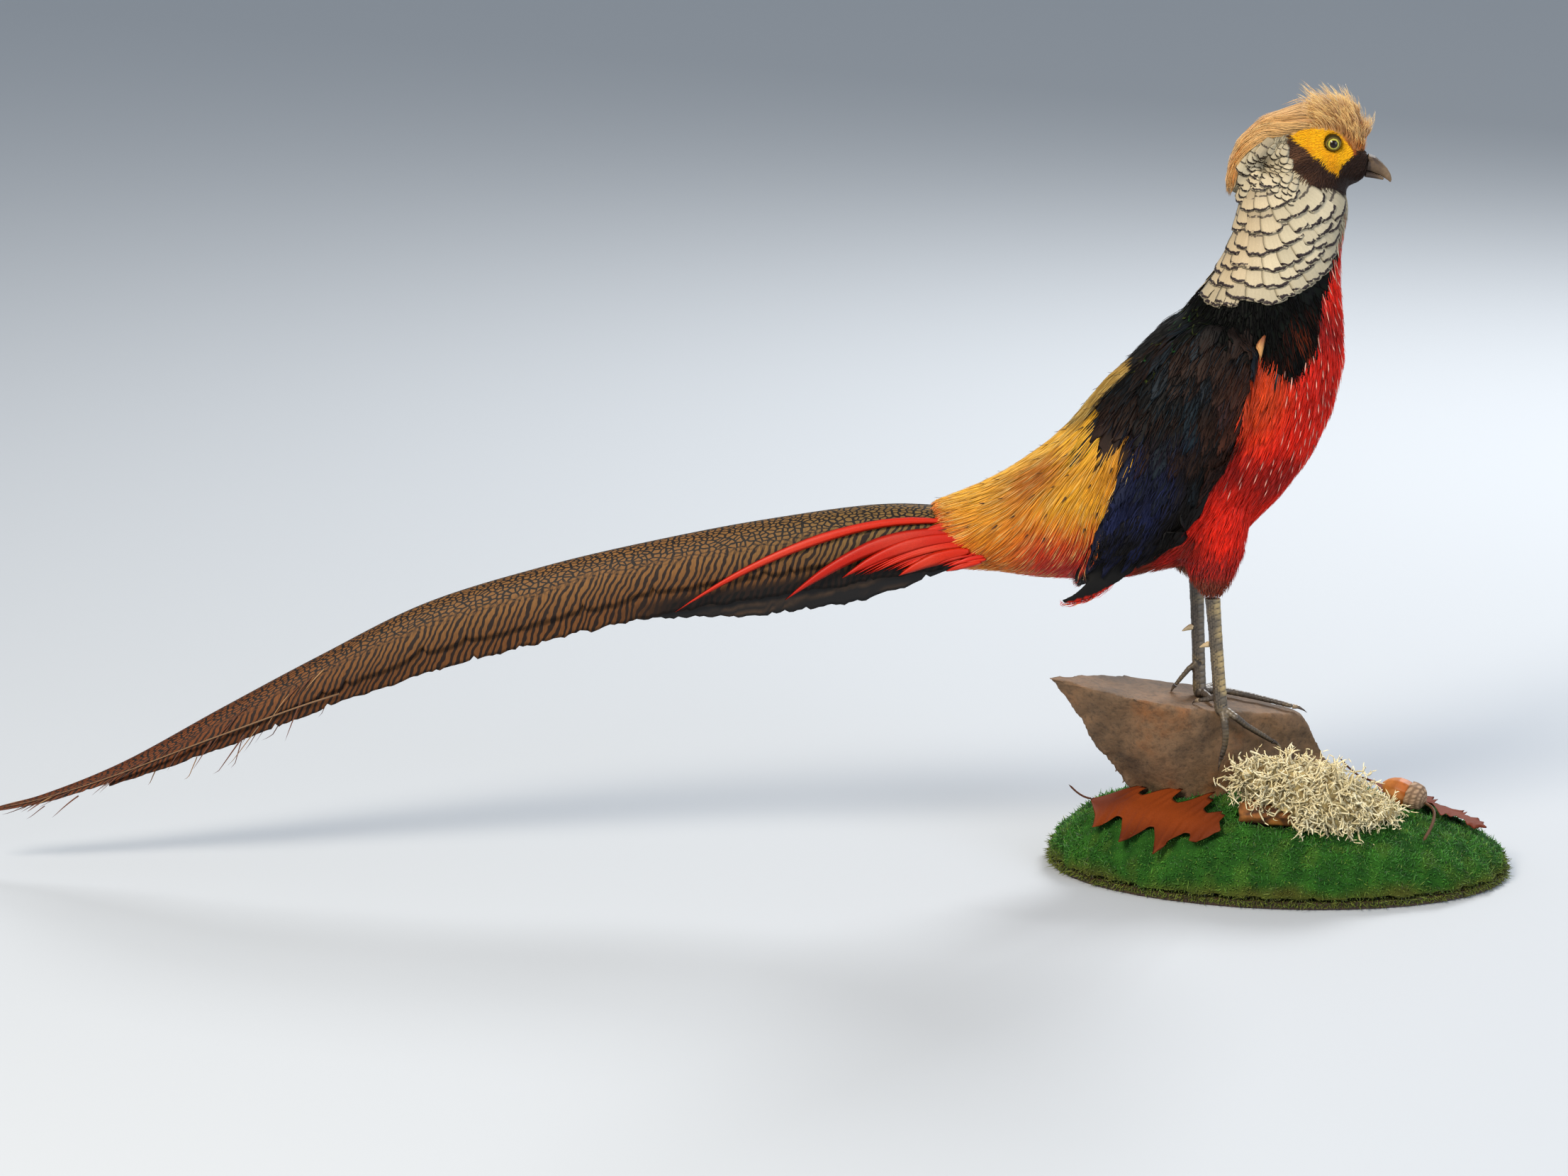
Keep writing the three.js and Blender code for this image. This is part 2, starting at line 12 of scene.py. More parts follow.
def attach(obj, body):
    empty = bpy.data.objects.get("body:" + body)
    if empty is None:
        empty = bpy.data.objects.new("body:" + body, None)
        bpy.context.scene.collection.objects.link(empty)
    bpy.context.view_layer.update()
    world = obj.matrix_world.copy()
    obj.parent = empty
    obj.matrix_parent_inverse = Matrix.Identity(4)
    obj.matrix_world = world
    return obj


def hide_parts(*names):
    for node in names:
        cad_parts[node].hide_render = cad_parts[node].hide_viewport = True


bl_info = {
    "name": "Mounted Golden Pheasant",
    "version": (1, 0, 0),
    "blender": (4, 5, 0),
    "location": "View3D > Sidebar > Pheasant",
    "description": "Skin, plumage and base of a mounted golden pheasant around its solids",
    "category": "Add Mesh",
}

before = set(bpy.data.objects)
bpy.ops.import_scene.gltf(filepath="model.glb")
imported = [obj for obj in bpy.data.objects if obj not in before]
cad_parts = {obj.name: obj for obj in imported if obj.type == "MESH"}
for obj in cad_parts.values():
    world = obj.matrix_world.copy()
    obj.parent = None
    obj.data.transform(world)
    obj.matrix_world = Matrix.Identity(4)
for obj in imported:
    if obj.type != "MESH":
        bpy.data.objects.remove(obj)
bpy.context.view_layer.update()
MM = 0.001
SIDES = {"right": -1, "left": 1}

# ---------------------------------------------------------------- places on the bird, side view, mm
EYE_AT = (22.0, 501.0)
EYE_OUT = 12.6
EYE_RADIUS = 6.0
SOCKET_RADIUS = 8.5
LID_OUT = 16.5
LID_RADIUS = 4.2
LID_THICKNESS = 0.6
CREST_EDGE = [(60, 492), (45, 494), (42, 494), (36, 497), (32, 504), (25, 508.5), (14, 511), (4, 511.5),
              (-5, 509), (-11, 506), (-25, 504), (-34, 494), (-38, 486), (-42, 476), (-44, 468), (-49, 462),
              (-70, 462), (-70, 560), (70, 560)]
FACE_EDGE = [(-6, 505), (3, 511), (14, 510), (25, 508), (31, 502), (36, 495), (35, 490), (29, 487),
             (27, 480), (21, 483), (14, 490), (6, 496), (-1, 501)]
CHEEK_EDGE = [(-7, 507), (-1, 501), (6, 496), (14, 490), (21, 483), (27, 480), (29, 487), (35, 492),
              (43, 495), (60, 492), (60, 476), (44, 474), (38, 467), (26, 466), (16, 469), (4, 477),
              (-3, 485), (-7, 494)]
CAPE_HEART = (-33.0, 492.0)
CAPE_RIM = [(-150, 118), (-122, 124), (-112, 103), (-107, 97), (-97, 101), (-91, 93), (-80, 95), (-70, 93),
            (-58, 91), (-48, 87), (-40, 79), (-30, 74), (-20, 72), (0, 70)]
WING_FRONT = [(-28, 372), (-32, 354), (-34, 343), (-39, 326), (-37, 312), (-48, 292), (-60, 274), (-71, 256),
              (-77, 240), (-88, 229), (-100, 221), (-116, 211), (-134, 202), (-153, 196)]
WING_BACK = [(-96, 384), (-112, 366), (-127, 349), (-137, 334), (-138, 327), (-126, 319), (-113, 312),
             (-106, 306), (-112, 292), (-120, 272), (-127, 254), (-133, 238), (-138, 225),
             (-150, 207), (-156, 200)]
WING_EDGE = WING_FRONT + WING_BACK[::-1]
SHOULDER_EDGE = [(-150, 400), (-70, 420), (20, 440), (40, 452), (30, 440), (14, 400), (13, 378), (10, 366),
                 (3, 358), (0, 352), (-8, 354), (-14, 362), (-24, 366), (-30, 372), (-96, 384), (-120, 360)]
THIGH_EDGE = [(-84, 238), (-86, 218), (-82, 206), (-70, 196), (-40, 192), (-32, 204), (-28, 224), (-22, 240),
              (-50, 248)]
BODY_LINE = [(60, 478), (12, 492), (-2, 461), (-9, 415), (-24, 357), (-80, 285), (-168, 245), (-236, 233),
             (-500, 190), (-884, 38)]
# Which way the coat lies: x, z, then the heading there.
LIE = [(40, 490, -0.9, -0.4), (24, 484, -0.6, -0.8), (5, 500, -1, -0.15), (20, 508, -1, 0.1),
       (-10, 512, -0.95, 0.2), (-30, 500, -0.8, -0.6), (-42, 478, -0.25, -1), (-20, 485, -0.5, -0.85),
       (-36, 460, -0.05, -1), (-36, 430, -0.1, -1), (0, 440, 0.3, -0.95), (22, 455, 0.8, -0.6),
       (30, 470, 0.9, -0.35), (36, 430, 0.1, -1), (41, 385, 0.0, -1), (36, 345, -0.25, -0.97),
       (18, 300, -0.5, -0.87), (-10, 255, -0.62, -0.78), (0, 360, -0.3, -0.95), (-30, 320, -0.4, -0.92),
       (-45, 275, -0.5, -0.87), (-50, 235, -0.25, -0.97), (-60, 205, -0.1, -1), (-90, 225, -0.9, -0.45),
       (-60, 400, -0.6, -0.8), (-90, 370, -0.7, -0.7), (-70, 330, -0.45, -0.9), (-95, 270, -0.5, -0.87),
       (-115, 230, -0.7, -0.7), (-120, 340, -0.5, -0.87), (-110, 300, -0.22, -0.98),
       (-128, 250, -0.18, -0.98), (-145, 300, -0.6, -0.8), (-160, 260, -0.5, -0.86), (-175, 285, -0.85, -0.5),
       (-205, 262, -0.97, -0.22), (-200, 235, -0.75, -0.66), (-225, 245, -0.98, -0.15),
       (-160, 215, -0.45, -0.9), (-130, 208, -0.5, -0.85), (-240, 225, -0.95, -0.3)]

# ---------------------------------------------------------------- places on the tail, mm
TAIL = [(-205, 251, 22, 34), (-270, 254.5, 23, 46), (-350, 244, 23, 50), (-425, 229.5, 22, 48),
        (-500, 211.5, 22, 50), (-582, 185.5, 21, 49), (-655, 148.5, 18, 41), (-722, 112, 15, 33),
        (-790, 74, 10, 18), (-845, 51, 6, 10), (-884, 40, 2.5, 4)]

# ---------------------------------------------------------------- places on the legs and feet, mm
SHANKS = {"right": [(-52, -27, 216), (-51, -24, 197), (-43, -20, 117)],
          "left": [(-63, 22, 220), (-58, 18, 200), (-54.5, 14, 120)]}
TOES = {"right": {"middle": [(-41, -21, 117), (-33.5, -26, 112.5), (-26, -21.5, 105.5), (-16, -15, 98),
                             (-7, -10, 91.5)],
                  "outer": [(-42, -21, 117), (-41, -26.5, 110), (-40, -26, 100), (-40.3, -24, 92),
                            (-42, -22, 84)],
                  "inner": [(-42.5, -18, 117.5), (-42, -10, 118), (-41, -2, 117.5), (-40, 5, 117)],
                  "hind": [(-45.5, -18.5, 125), (-51, -16, 122.5), (-57, -13, 120.8)]},
        "left": {"middle": [(-53, 15, 120), (-43, 21, 119.4), (-33, 24, 117), (-18, 21.5, 114.4),
                            (-4, 17.5, 112), (9, 13, 109.6)],
                 "outer": [(-53.5, 17, 120), (-47, 26, 119.8), (-41, 35, 119), (-37, 43, 117.5)],
                 "inner": [(-53.5, 12, 120), (-50, 5, 119.4), (-48, -1, 119)],
                 "hind": [(-56.5, 14, 140), (-62, 14, 136), (-67.2, 14, 129.5), (-71, 14, 124.5)]},}


# ---------------------------------------------------------------- small tools
WAVES = 7
WAVE_RATE = 1.9
WAVE_SUM = 3.2  # brings the sum of the waves back to about -1 to 1


def linear(code):
    """A linear colour, with its alpha, from an sRGB hex value."""
    parts = [int(code[i:i + 2], 16) / 255 for i in (0, 2, 4)]
    return tuple(c / 12.92 if c <= 0.04045 else ((c + 0.055) / 1.055) ** 2.4 for c in parts) + (1.0,)


def shade(code):
    """The same colour as an array of three numbers, for painting feathers."""
    return np.array(linear(code)[:3])


def unit(vectors):
    return vectors / np.maximum(np.linalg.norm(vectors, axis=-1, keepdims=True), 1e-9)


def along_skin(headings, normals):
    """Headings turned to lie in the surface."""
    return unit(headings - normals * (headings * normals).sum(-1, keepdims=True))


def smooth(low, high, value):
    """A soft step from 0 at low to 1 at high."""
    share = np.clip((value - low) / (high - low), 0, 1)
    return share * share * (3 - 2 * share)


def side_view(places):
    """The places' x and z in mm."""
    return places[..., 0] / MM, places[..., 2] / MM


def inside(outline, places):
    """Which places, in metres, lie inside an outline drawn in mm in the side view."""
    x, z = side_view(places)
    found = np.zeros(x.shape, bool)
    for (x0, z0), (x1, z1) in zip(outline, outline[1:] + outline[:1]):
        if z0 == z1:
            continue
        crosses = (z0 > z) != (z1 > z)
        found ^= crosses & (x < x0 + (z - z0) / (z1 - z0) * (x1 - x0))
    return found


def ripple(places, size, seed=0):
    """A smooth random value from -1 to 1 that varies over about this size, in metres."""
    turn = np.random.default_rng(seed)
    value = np.zeros(places.shape[:-1])
    for _ in range(WAVES):
        wave = turn.normal(size=3) / size * WAVE_RATE
        value = value + np.sin(places @ wave + turn.uniform(0, 6.28))
    return value / WAVE_SUM


def mixed(first, second, share):
    share = np.asarray(share)[..., None]
    return first * (1 - share) + second * share


def layered(colour, *layers):
    """The colour with others laid over it, each given by its hex value and its share."""
    for code, share in layers:
        colour = mixed(colour, shade(code), share)
    return colour


def select_only(item):
    bpy.ops.object.select_all(action="DESELECT")
    item.select_set(True)
    bpy.context.view_layer.objects.active = item


def primitive(operator, name, **settings):
    """One new primitive, with its place in its mesh."""
    bpy.ops.object.select_all(action="DESELECT")
    operator(**settings)
    item = bpy.context.object
    item.name = name
    bpy.ops.object.transform_apply(location=True, rotation=True, scale=True)
    return item


def edit_all(item, *steps):
    """Runs edit-mode operators on the whole mesh; each step is an operator with its settings."""
    select_only(item)
    bpy.ops.object.mode_set(mode="EDIT")
    bpy.ops.mesh.select_all(action="SELECT")
    for operator, settings in steps:
        operator(**settings)
    bpy.ops.object.mode_set(mode="OBJECT")


def apply(item, kind, **settings):
    """Adds one modifier and applies it."""
    select_only(item)
    modifier = item.modifiers.new(kind.title(), kind)
    for name, value in settings.items():
        setattr(modifier, name, value)
    bpy.ops.object.modifier_apply(modifier=modifier.name)


def copy_of(nodes, name):
    """One new object of copies of these solids, each with its loose triangles merged."""
    made = []
    for node in nodes:
        copy = bpy.data.objects.new(name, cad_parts[node].data.copy())
        bpy.context.collection.objects.link(copy)
        made.append(copy)
    bpy.ops.object.select_all(action="DESELECT")
    for copy in made:
        copy.select_set(True)
    bpy.context.view_layer.objects.active = made[0]
    if len(made) > 1:
        bpy.ops.object.join()
    body = bpy.context.view_layer.objects.active
    body.name = name
    body.data.name = name
    body.data.materials.clear()
    if body.data.has_custom_normals:
        bpy.ops.mesh.customdata_custom_splitnormals_clear()
    edit_all(body, (bpy.ops.mesh.remove_doubles, {"threshold": 2e-5}))
    return body


def remeshed(nodes, name, voxel, rounds, grow=0.0):
    """A smooth closed copy of these solids, joined where they touch."""
    body = copy_of(nodes, name)
    if grow:
        edit_all(body, (bpy.ops.transform.shrink_fatten, {"value": grow}))
    apply(body, "REMESH", mode="VOXEL", voxel_size=voxel)
    apply(body, "SMOOTH", factor=0.5, iterations=rounds)
    return body


def points_of(mesh):
    values = np.empty(len(mesh.vertices) * 3)
    mesh.vertices.foreach_get("co", values)
    return values.reshape(-1, 3)


def normals_of(mesh):
    values = np.empty(len(mesh.vertices) * 3)
    mesh.vertices.foreach_get("normal", values)
    return values.reshape(-1, 3)


def move_points(item, places):
    item.data.vertices.foreach_set("co", np.asarray(places).ravel())
    item.data.update()


def paint_points(item, colours):
    """Puts a colour on every point, in the attribute that the plumage and skin finishes read."""
    attribute = item.data.color_attributes.new("tint", "FLOAT_COLOR", "POINT")
    values = np.ones((len(item.data.vertices), 4))
    values[:, :3] = colours
    attribute.data.foreach_set("color", values.ravel())


def shade_smooth(item):
    select_only(item)
    bpy.ops.object.shade_smooth()


def push_out(item, rise):
    """Moves each point along its normal by rise, in mm: one number, or one for each point."""
    move_points(item, points_of(item.data) + normals_of(item.data) * np.multiply(rise, MM)[..., None])


def finish_piece(item, material, slot, *nodes, colour=None):
    """Gives a piece its finish, hangs it on the root, and hides the solids that it stands for."""
    if colour is not None:
        paint_points(item, colour)
        shade_smooth(item)
    item.data.materials.clear()
    item.data.materials.append(material)
    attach(item, "root")
    if nodes:
        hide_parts(*nodes)
    return item


# ---------------------------------------------------------------- the surface that feathers lie on
OUTSIDE = 0.3  # a height, or a distance to the side, that is clear of everything, in metres
CLOSEST = 0.82  # how near two roots may come, as a share of their spacing
TRIES = 2.6  # places tried for each one that there is room for
NEAR_CELLS = [(dx, dy, dz) for dx in (-1, 0, 1) for dy in (-1, 0, 1) for dz in (-1, 0, 1)]


class Surface:
    """A closed mesh that feathers are laid on, with smooth normals."""

    def __init__(self, item):
        mesh = item.data
        mesh.calc_loop_triangles()
        corners = np.empty(len(mesh.loop_triangles) * 3, np.int32)
        mesh.loop_triangles.foreach_get("vertices", corners)
        self.corners = corners.reshape(-1, 3)
        self.points = points_of(mesh)
        self.normals = normals_of(mesh)
        self.tree = BVHTree.FromPolygons(self.points.tolist(), self.corners.tolist(), all_triangles=True)

    def smooth_normals(self, places, index):
        a, b, c = (self.points[self.corners[index, i]] for i in range(3))
        areas = np.stack([np.linalg.norm(np.cross(b - places, c - places), axis=1),
                          np.linalg.norm(np.cross(c - places, a - places), axis=1),
                          np.linalg.norm(np.cross(a - places, b - places), axis=1)], 1)
        areas = areas / np.maximum(areas.sum(1, keepdims=True), 1e-15)
        return unit((self.normals[self.corners[index]] * areas[..., None]).sum(1))

    def touch(self, places):
        """The nearest places on the surface, with the normals there."""
        flat = places.reshape(-1, 3)
        hits = [self.tree.find_nearest(place) for place in flat.tolist()]
        near = np.array([tuple(hit[0]) for hit in hits])
        index = np.array([hit[2] for hit in hits])
        normals = self.smooth_normals(near, index)
        return near.reshape(places.shape), normals.reshape(places.shape)

    def from_side(self, x, z, side):
        """The outermost place at x, z seen from one side, or None."""
        hit = self.tree.ray_cast(Vector((x, side * OUTSIDE, z)), Vector((0, -side, 0)))
        return None if hit[0] is None else np.array(hit[0])

    def spots(self, pairs, sides=tuple(SIDES.values())):
        """The outermost places at these x, z, in mm, seen from each of the sides."""
        hits = [self.from_side(x * MM, z * MM, side) for side in sides for x, z in pairs]
        return np.array([place for place in hits if place is not None])

    def scatter(self, spacing, chosen, seed):
        """Places and normals spread evenly, about this far apart, over what chosen() picks."""
        rng = np.random.default_rng(seed)
        a, b, c = (self.points[self.corners[:, i]] for i in range(3))
        middle = (a + b + c) / 3
        area = np.linalg.norm(np.cross(b - a, c - a), axis=1) / 2 * chosen(middle)
        tries = int(area.sum() / spacing**2 * TRIES)
        index = rng.choice(len(area), size=tries, p=area / area.sum())
        u, v = rng.random((2, tries))
        over = u + v > 1
        u[over], v[over] = 1 - u[over], 1 - v[over]
        places = a[index] + (b - a)[index] * u[:, None] + (c - a)[index] * v[:, None]
        taken = {}
        kept = []
        cell_of = np.floor(places / spacing).astype(int).tolist()
        reach = spacing * CLOSEST
        for i, (place, cell) in enumerate(zip(places.tolist(), cell_of)):
            around = (taken.get((cell[0] + dx, cell[1] + dy, cell[2] + dz), ()) for dx, dy, dz in NEAR_CELLS)
            near = any(sum((p - q) ** 2 for p, q in zip(place, other)) < reach * reach
                       for held in around for other in held)
            if not near:
                taken.setdefault(tuple(cell), []).append(place)
                kept.append(i)
        return places[kept], self.smooth_normals(places[kept], index[kept])


surfaces = {}


def skin_surface():
    if "skin" not in surfaces:
        raise RuntimeError("make the skin first: the feathers lie on it")
    return surfaces["skin"]


def lie_of_coat(places, normals):
    """The heading of the feathers at these places: the given headings, weighed by nearness."""
    hints = np.array(LIE, float)
    side = places[..., [0, 2]] / MM
    gap = ((side[..., None, :] - hints[:, :2]) ** 2).sum(-1) + 25
    share = 1 / gap**1.6
    heading = share @ unit(hints[:, 2:])
    full = np.stack([heading[..., 0], np.zeros(heading.shape[:-1]), heading[..., 1]], -1)
    return along_skin(unit(full) + 0.02 * normals[..., [2, 0, 1]], normals)


def steady(x, z):
    """A lie in which every feather points the same way: back by x and down by z."""
    heading = np.array([x, 0.0, z])

    def lie(places, normals):
        return along_skin(np.broadcast_to(heading, normals.shape), normals)

    return lie


def body_place(places):
    """Each place as a share of the way along the body, and its angle round the body."""
    line = np.array(BODY_LINE, float) * MM
    steps = line[1:] - line[:-1]
    lengths = np.linalg.norm(steps, axis=1)
    side = places[..., [0, 2]]
    best = np.full(side.shape[:-1], np.inf)
    share = np.zeros(side.shape[:-1])
    across = np.zeros(side.shape[:-1])
    for i, (start, step, length) in enumerate(zip(line, steps, lengths)):
        way = np.clip(((side - start) @ step) / length**2, 0, 1)
        off = side - start - way[..., None] * step
        gap = np.linalg.norm(off, axis=-1)
        signed = (step[0] * off[..., 1] - step[1] * off[..., 0]) / length
        nearer = gap < best
        best = np.where(nearer, gap, best)
        share = np.where(nearer, (lengths[:i].sum() + way * length) / lengths.sum(), share)
        across = np.where(nearer, signed, across)
    angle = np.arctan2(places[..., 1], across + 1e-6) / (2 * np.pi) + 0.5
    return share, angle


# ---------------------------------------------------------------- feathers from arrays
PATCH = 0.003  # the width of one feather's patch of the bake map


def blade_faces(rows):
    """A closed three-sided blade: rows of left, right and ridge, then one tip."""
    quads = []
    for row in range(rows - 1):
        for a, b in ((0, 2), (2, 1), (1, 0)):
            quads.append([3 * row + a, 3 * row + b, 3 * row + 3 + b, 3 * row + 3 + a][::-1])
    last = 3 * (rows - 1)
    tip = 3 * rows
    ends = [[last + b, last + a, tip] for a, b in ((0, 2), (2, 1), (1, 0))]
    ends.append([0, 2, 1][::-1])
    return [np.array(quads), np.array(ends)]


def vane_faces(rows, columns, flipped=False):
    """A closed flat vane: an upper sheet, and a lower one that shares its border."""
    upper = np.arange(rows * columns).reshape(rows, columns)
    lower = upper.copy()
    lower[1:-1, 1:-1] = rows * columns + np.arange((rows - 2) * (columns - 2)).reshape(rows - 2, columns - 2)
    quads = []
    for r in range(rows - 1):
        for c in range(columns - 1):
            quads.append([upper[r, c], upper[r, c + 1], upper[r + 1, c + 1], upper[r + 1, c]])
            quads.append([lower[r + 1, c], lower[r + 1, c + 1], lower[r, c + 1], lower[r, c]])
    return [np.array(quads)[:, ::-1] if flipped else np.array(quads)]


def closed(upper, lower):
    """One row for each point of a closed sheet, in the order that vane_faces counts them."""
    size = upper.shape[-1]
    return np.concatenate([upper.reshape(-1, size), lower[1:-1, 1:-1].reshape(-1, size)])


class Coat:
    """Gathers like feathers as arrays, and makes them one mesh."""

    def __init__(self):
        self.points, self.faces, self.vane, self.bake, self.tint = [], [], [], [], []
        self.total = 0

    def lay(self, points, faces, vane, bake, tint):
        """points, bake and tint hold one row per feather; vane may be the same for all."""
        count, size = points.shape[:2]
        first = self.total + np.arange(count) * size
        for block in faces:
            self.faces.extend((block[None] + first[:, None, None]).reshape(-1, block.shape[1]).tolist())
        self.points.append(points.reshape(-1, 3))
        self.vane.append(np.broadcast_to(vane, (count, size, 2)).reshape(-1, 2))
        self.bake.append(bake.reshape(-1, 2))
        self.tint.append(np.broadcast_to(tint, (count, size, 3)).reshape(-1, 3))
        self.total += count * size

    def piece(self, name):
        mesh = bpy.data.meshes.new(name)
        mesh.from_pydata(np.concatenate(self.points).tolist(), [], self.faces)
        corner = np.empty(len(mesh.loops), np.int32)
        mesh.loops.foreach_get("vertex_index", corner)
        for label, values in (("vane", np.concatenate(self.vane)), ("OFBake", np.concatenate(self.bake))):
            layer = mesh.uv_layers.new(name=label)
            layer.data.foreach_set("uv", values[corner].ravel())
        mesh.polygons.foreach_set("use_smooth", np.ones(len(mesh.polygons), bool))
        item = bpy.data.objects.new(name, mesh)
        bpy.context.collection.objects.link(item)
        paint_points(item, np.concatenate(self.tint))
        return item


def patches(roots, vane):
    """A small patch of the bake map for each feather, at its root's place on the body's own unwrap."""
    share, angle = body_place(roots)
    span = max(np.ptp(share), 1e-4)
    at = np.stack([0.01 + 0.97 * angle, 0.01 + 0.97 * (share - share.min()) / span], -1)
    return at[:, None, :] + PATCH * (np.asarray(vane) - 0.5)


def cells(count, vane):
    """A cell of its own for each of a few large feathers, in rows and columns as they are laid."""
    across = int(np.ceil(np.sqrt(count)))
    index = np.arange(count)
    corner = np.stack([index % across, index // across], -1) / across
    return corner[:, None, :] + (0.06 + 0.88 * np.asarray(vane)) / across


def follow(surface, roots, normals, headings, lengths, steps, lie=lie_of_coat, turn=0.5, pull=1.4 * MM):
    """Paths that start at the roots and run along the surface, each step turned partly to the lie."""
    place, normal, heading = roots, normals, headings
    path, ups, ways = [place], [normal], [heading]
    for _ in range(steps):
        ahead = place + heading * (lengths / steps)[:, None]
        touched, normal = surface.touch(ahead)
        shift = touched - ahead
        size = np.linalg.norm(shift, axis=1, keepdims=True)
        place = ahead + shift * np.minimum(1, pull / np.maximum(size, 1e-9))
        wanted = lie(place, normal)
        heading = along_skin(heading * (1 - turn) + wanted * turn, normal)
        path.append(place)
        ups.append(normal)
        ways.append(heading)
    return np.stack(path, 1), np.stack(ups, 1), np.stack(ways, 1)


def arcs(roots, lengths, aims, bends, share, weight=0.5):
    """Paths in the air that leave the roots along the aims and bend more and more."""
    straight = aims[:, None] * share[None, :, None]
    return roots[:, None] + lengths[:, None, None] * (
        straight + bends[:, None] * (share**2)[None, :, None] * weight)


def free_ways(path, face):
    """The ways along paths in the air, and the directions square to them that face most."""
    ways = unit(np.gradient(path, axis=1))
    return ways, unit(np.cross(ways, np.cross(face, ways)))


def blades_on(path, ups, ways, widths, thick, lifts, taper=0.75, twist=None):
    """Closed tapering blades along these paths. lifts holds a height above the path for every row."""
    rows = path.shape[1] - 1
    centre = path + ups * lifts
    across = unit(np.cross(ways, ups))
    if twist is not None:
        across = unit(across + ups * twist[:, None, None])
    body, tip = centre[:, :rows], centre[:, rows]
    share = np.arange(rows) / rows
    half = (widths[:, None] * (1 - taper * share**1.6) / 2)[..., None]
    left = body - across[:, :rows] * half
    right = body + across[:, :rows] * half
    ridge = body + ups[:, :rows] * thick
    edges = np.stack([left, right, ridge], 2).reshape(len(path), rows * 3, 3)
    vane = np.stack([np.tile([0, 1, 0.5], rows), np.repeat(share, 3)], -1)
    return np.concatenate([edges, tip[:, None]], 1), np.concatenate([vane, [[0.5, 1.0]]])


def free_blades(coat, path, ups, ways, widths, thick, taper, tint, bake):
    """Blades along paths in the air; bake() gives their patches of the bake map."""
    points, vane = blades_on(path, ups, ways, widths, thick, 0.0, taper)
    coat.lay(points, blade_faces(path.shape[1] - 1), vane, bake(path[:, 0], vane), tint)


def per_row(values, rows):
    """Colours given per row, spread to the blade's points."""
    return np.concatenate([np.repeat(values[:, :rows], 3, axis=1), values[:, rows:rows + 1]], 1)


def hair(coat, surface, roots, normals, look, paint, seed, lie=lie_of_coat, sizes=1.0):
    """Fine hairlike feathers that lie along the surface."""
    rng = np.random.default_rng(seed)
    count = len(roots)
    lengths = rng.uniform(look.length[0], look.length[1], count) * sizes * MM
    widths = rng.uniform(0.75, 1.25, count) * look.width * MM
    headings = lie(roots, normals)
    stray = np.cross(normals, headings) * rng.normal(0, look.stray, count)[:, None]
    headings = unit(headings + stray)
    path, ups, ways = follow(surface, roots, normals, headings, lengths, look.rows, lie, look.turn,
                             look.pull * MM)
    share = np.linspace(0, 1, look.rows + 1)
    low = rng.uniform(look.rise[0], look.rise[1], count)
    lifts = (look.bed + low[:, None] * share**look.bow)[..., None] * MM
    points, vane = blades_on(path, ups, ways, widths, look.width * 0.3 * MM, lifts, 0.75,
                             rng.normal(0, 0.25, count))
    colours = paint(roots, share, rng)
    coat.lay(points, blade_faces(look.rows), vane, patches(roots, vane), per_row(colours, look.rows))


def cover(coat, surface, spacing, chosen, seeds, look, paint, lie=lie_of_coat, sizes=None):
    """Hairlike feathers spread evenly over what chosen() picks; sizes() gives shares of their full length."""
    roots, normals = surface.scatter(spacing, chosen, seeds[0])
    hair(coat, surface, roots, normals, look, paint, seeds[1], lie, sizes(roots) if sizes else 1.0)


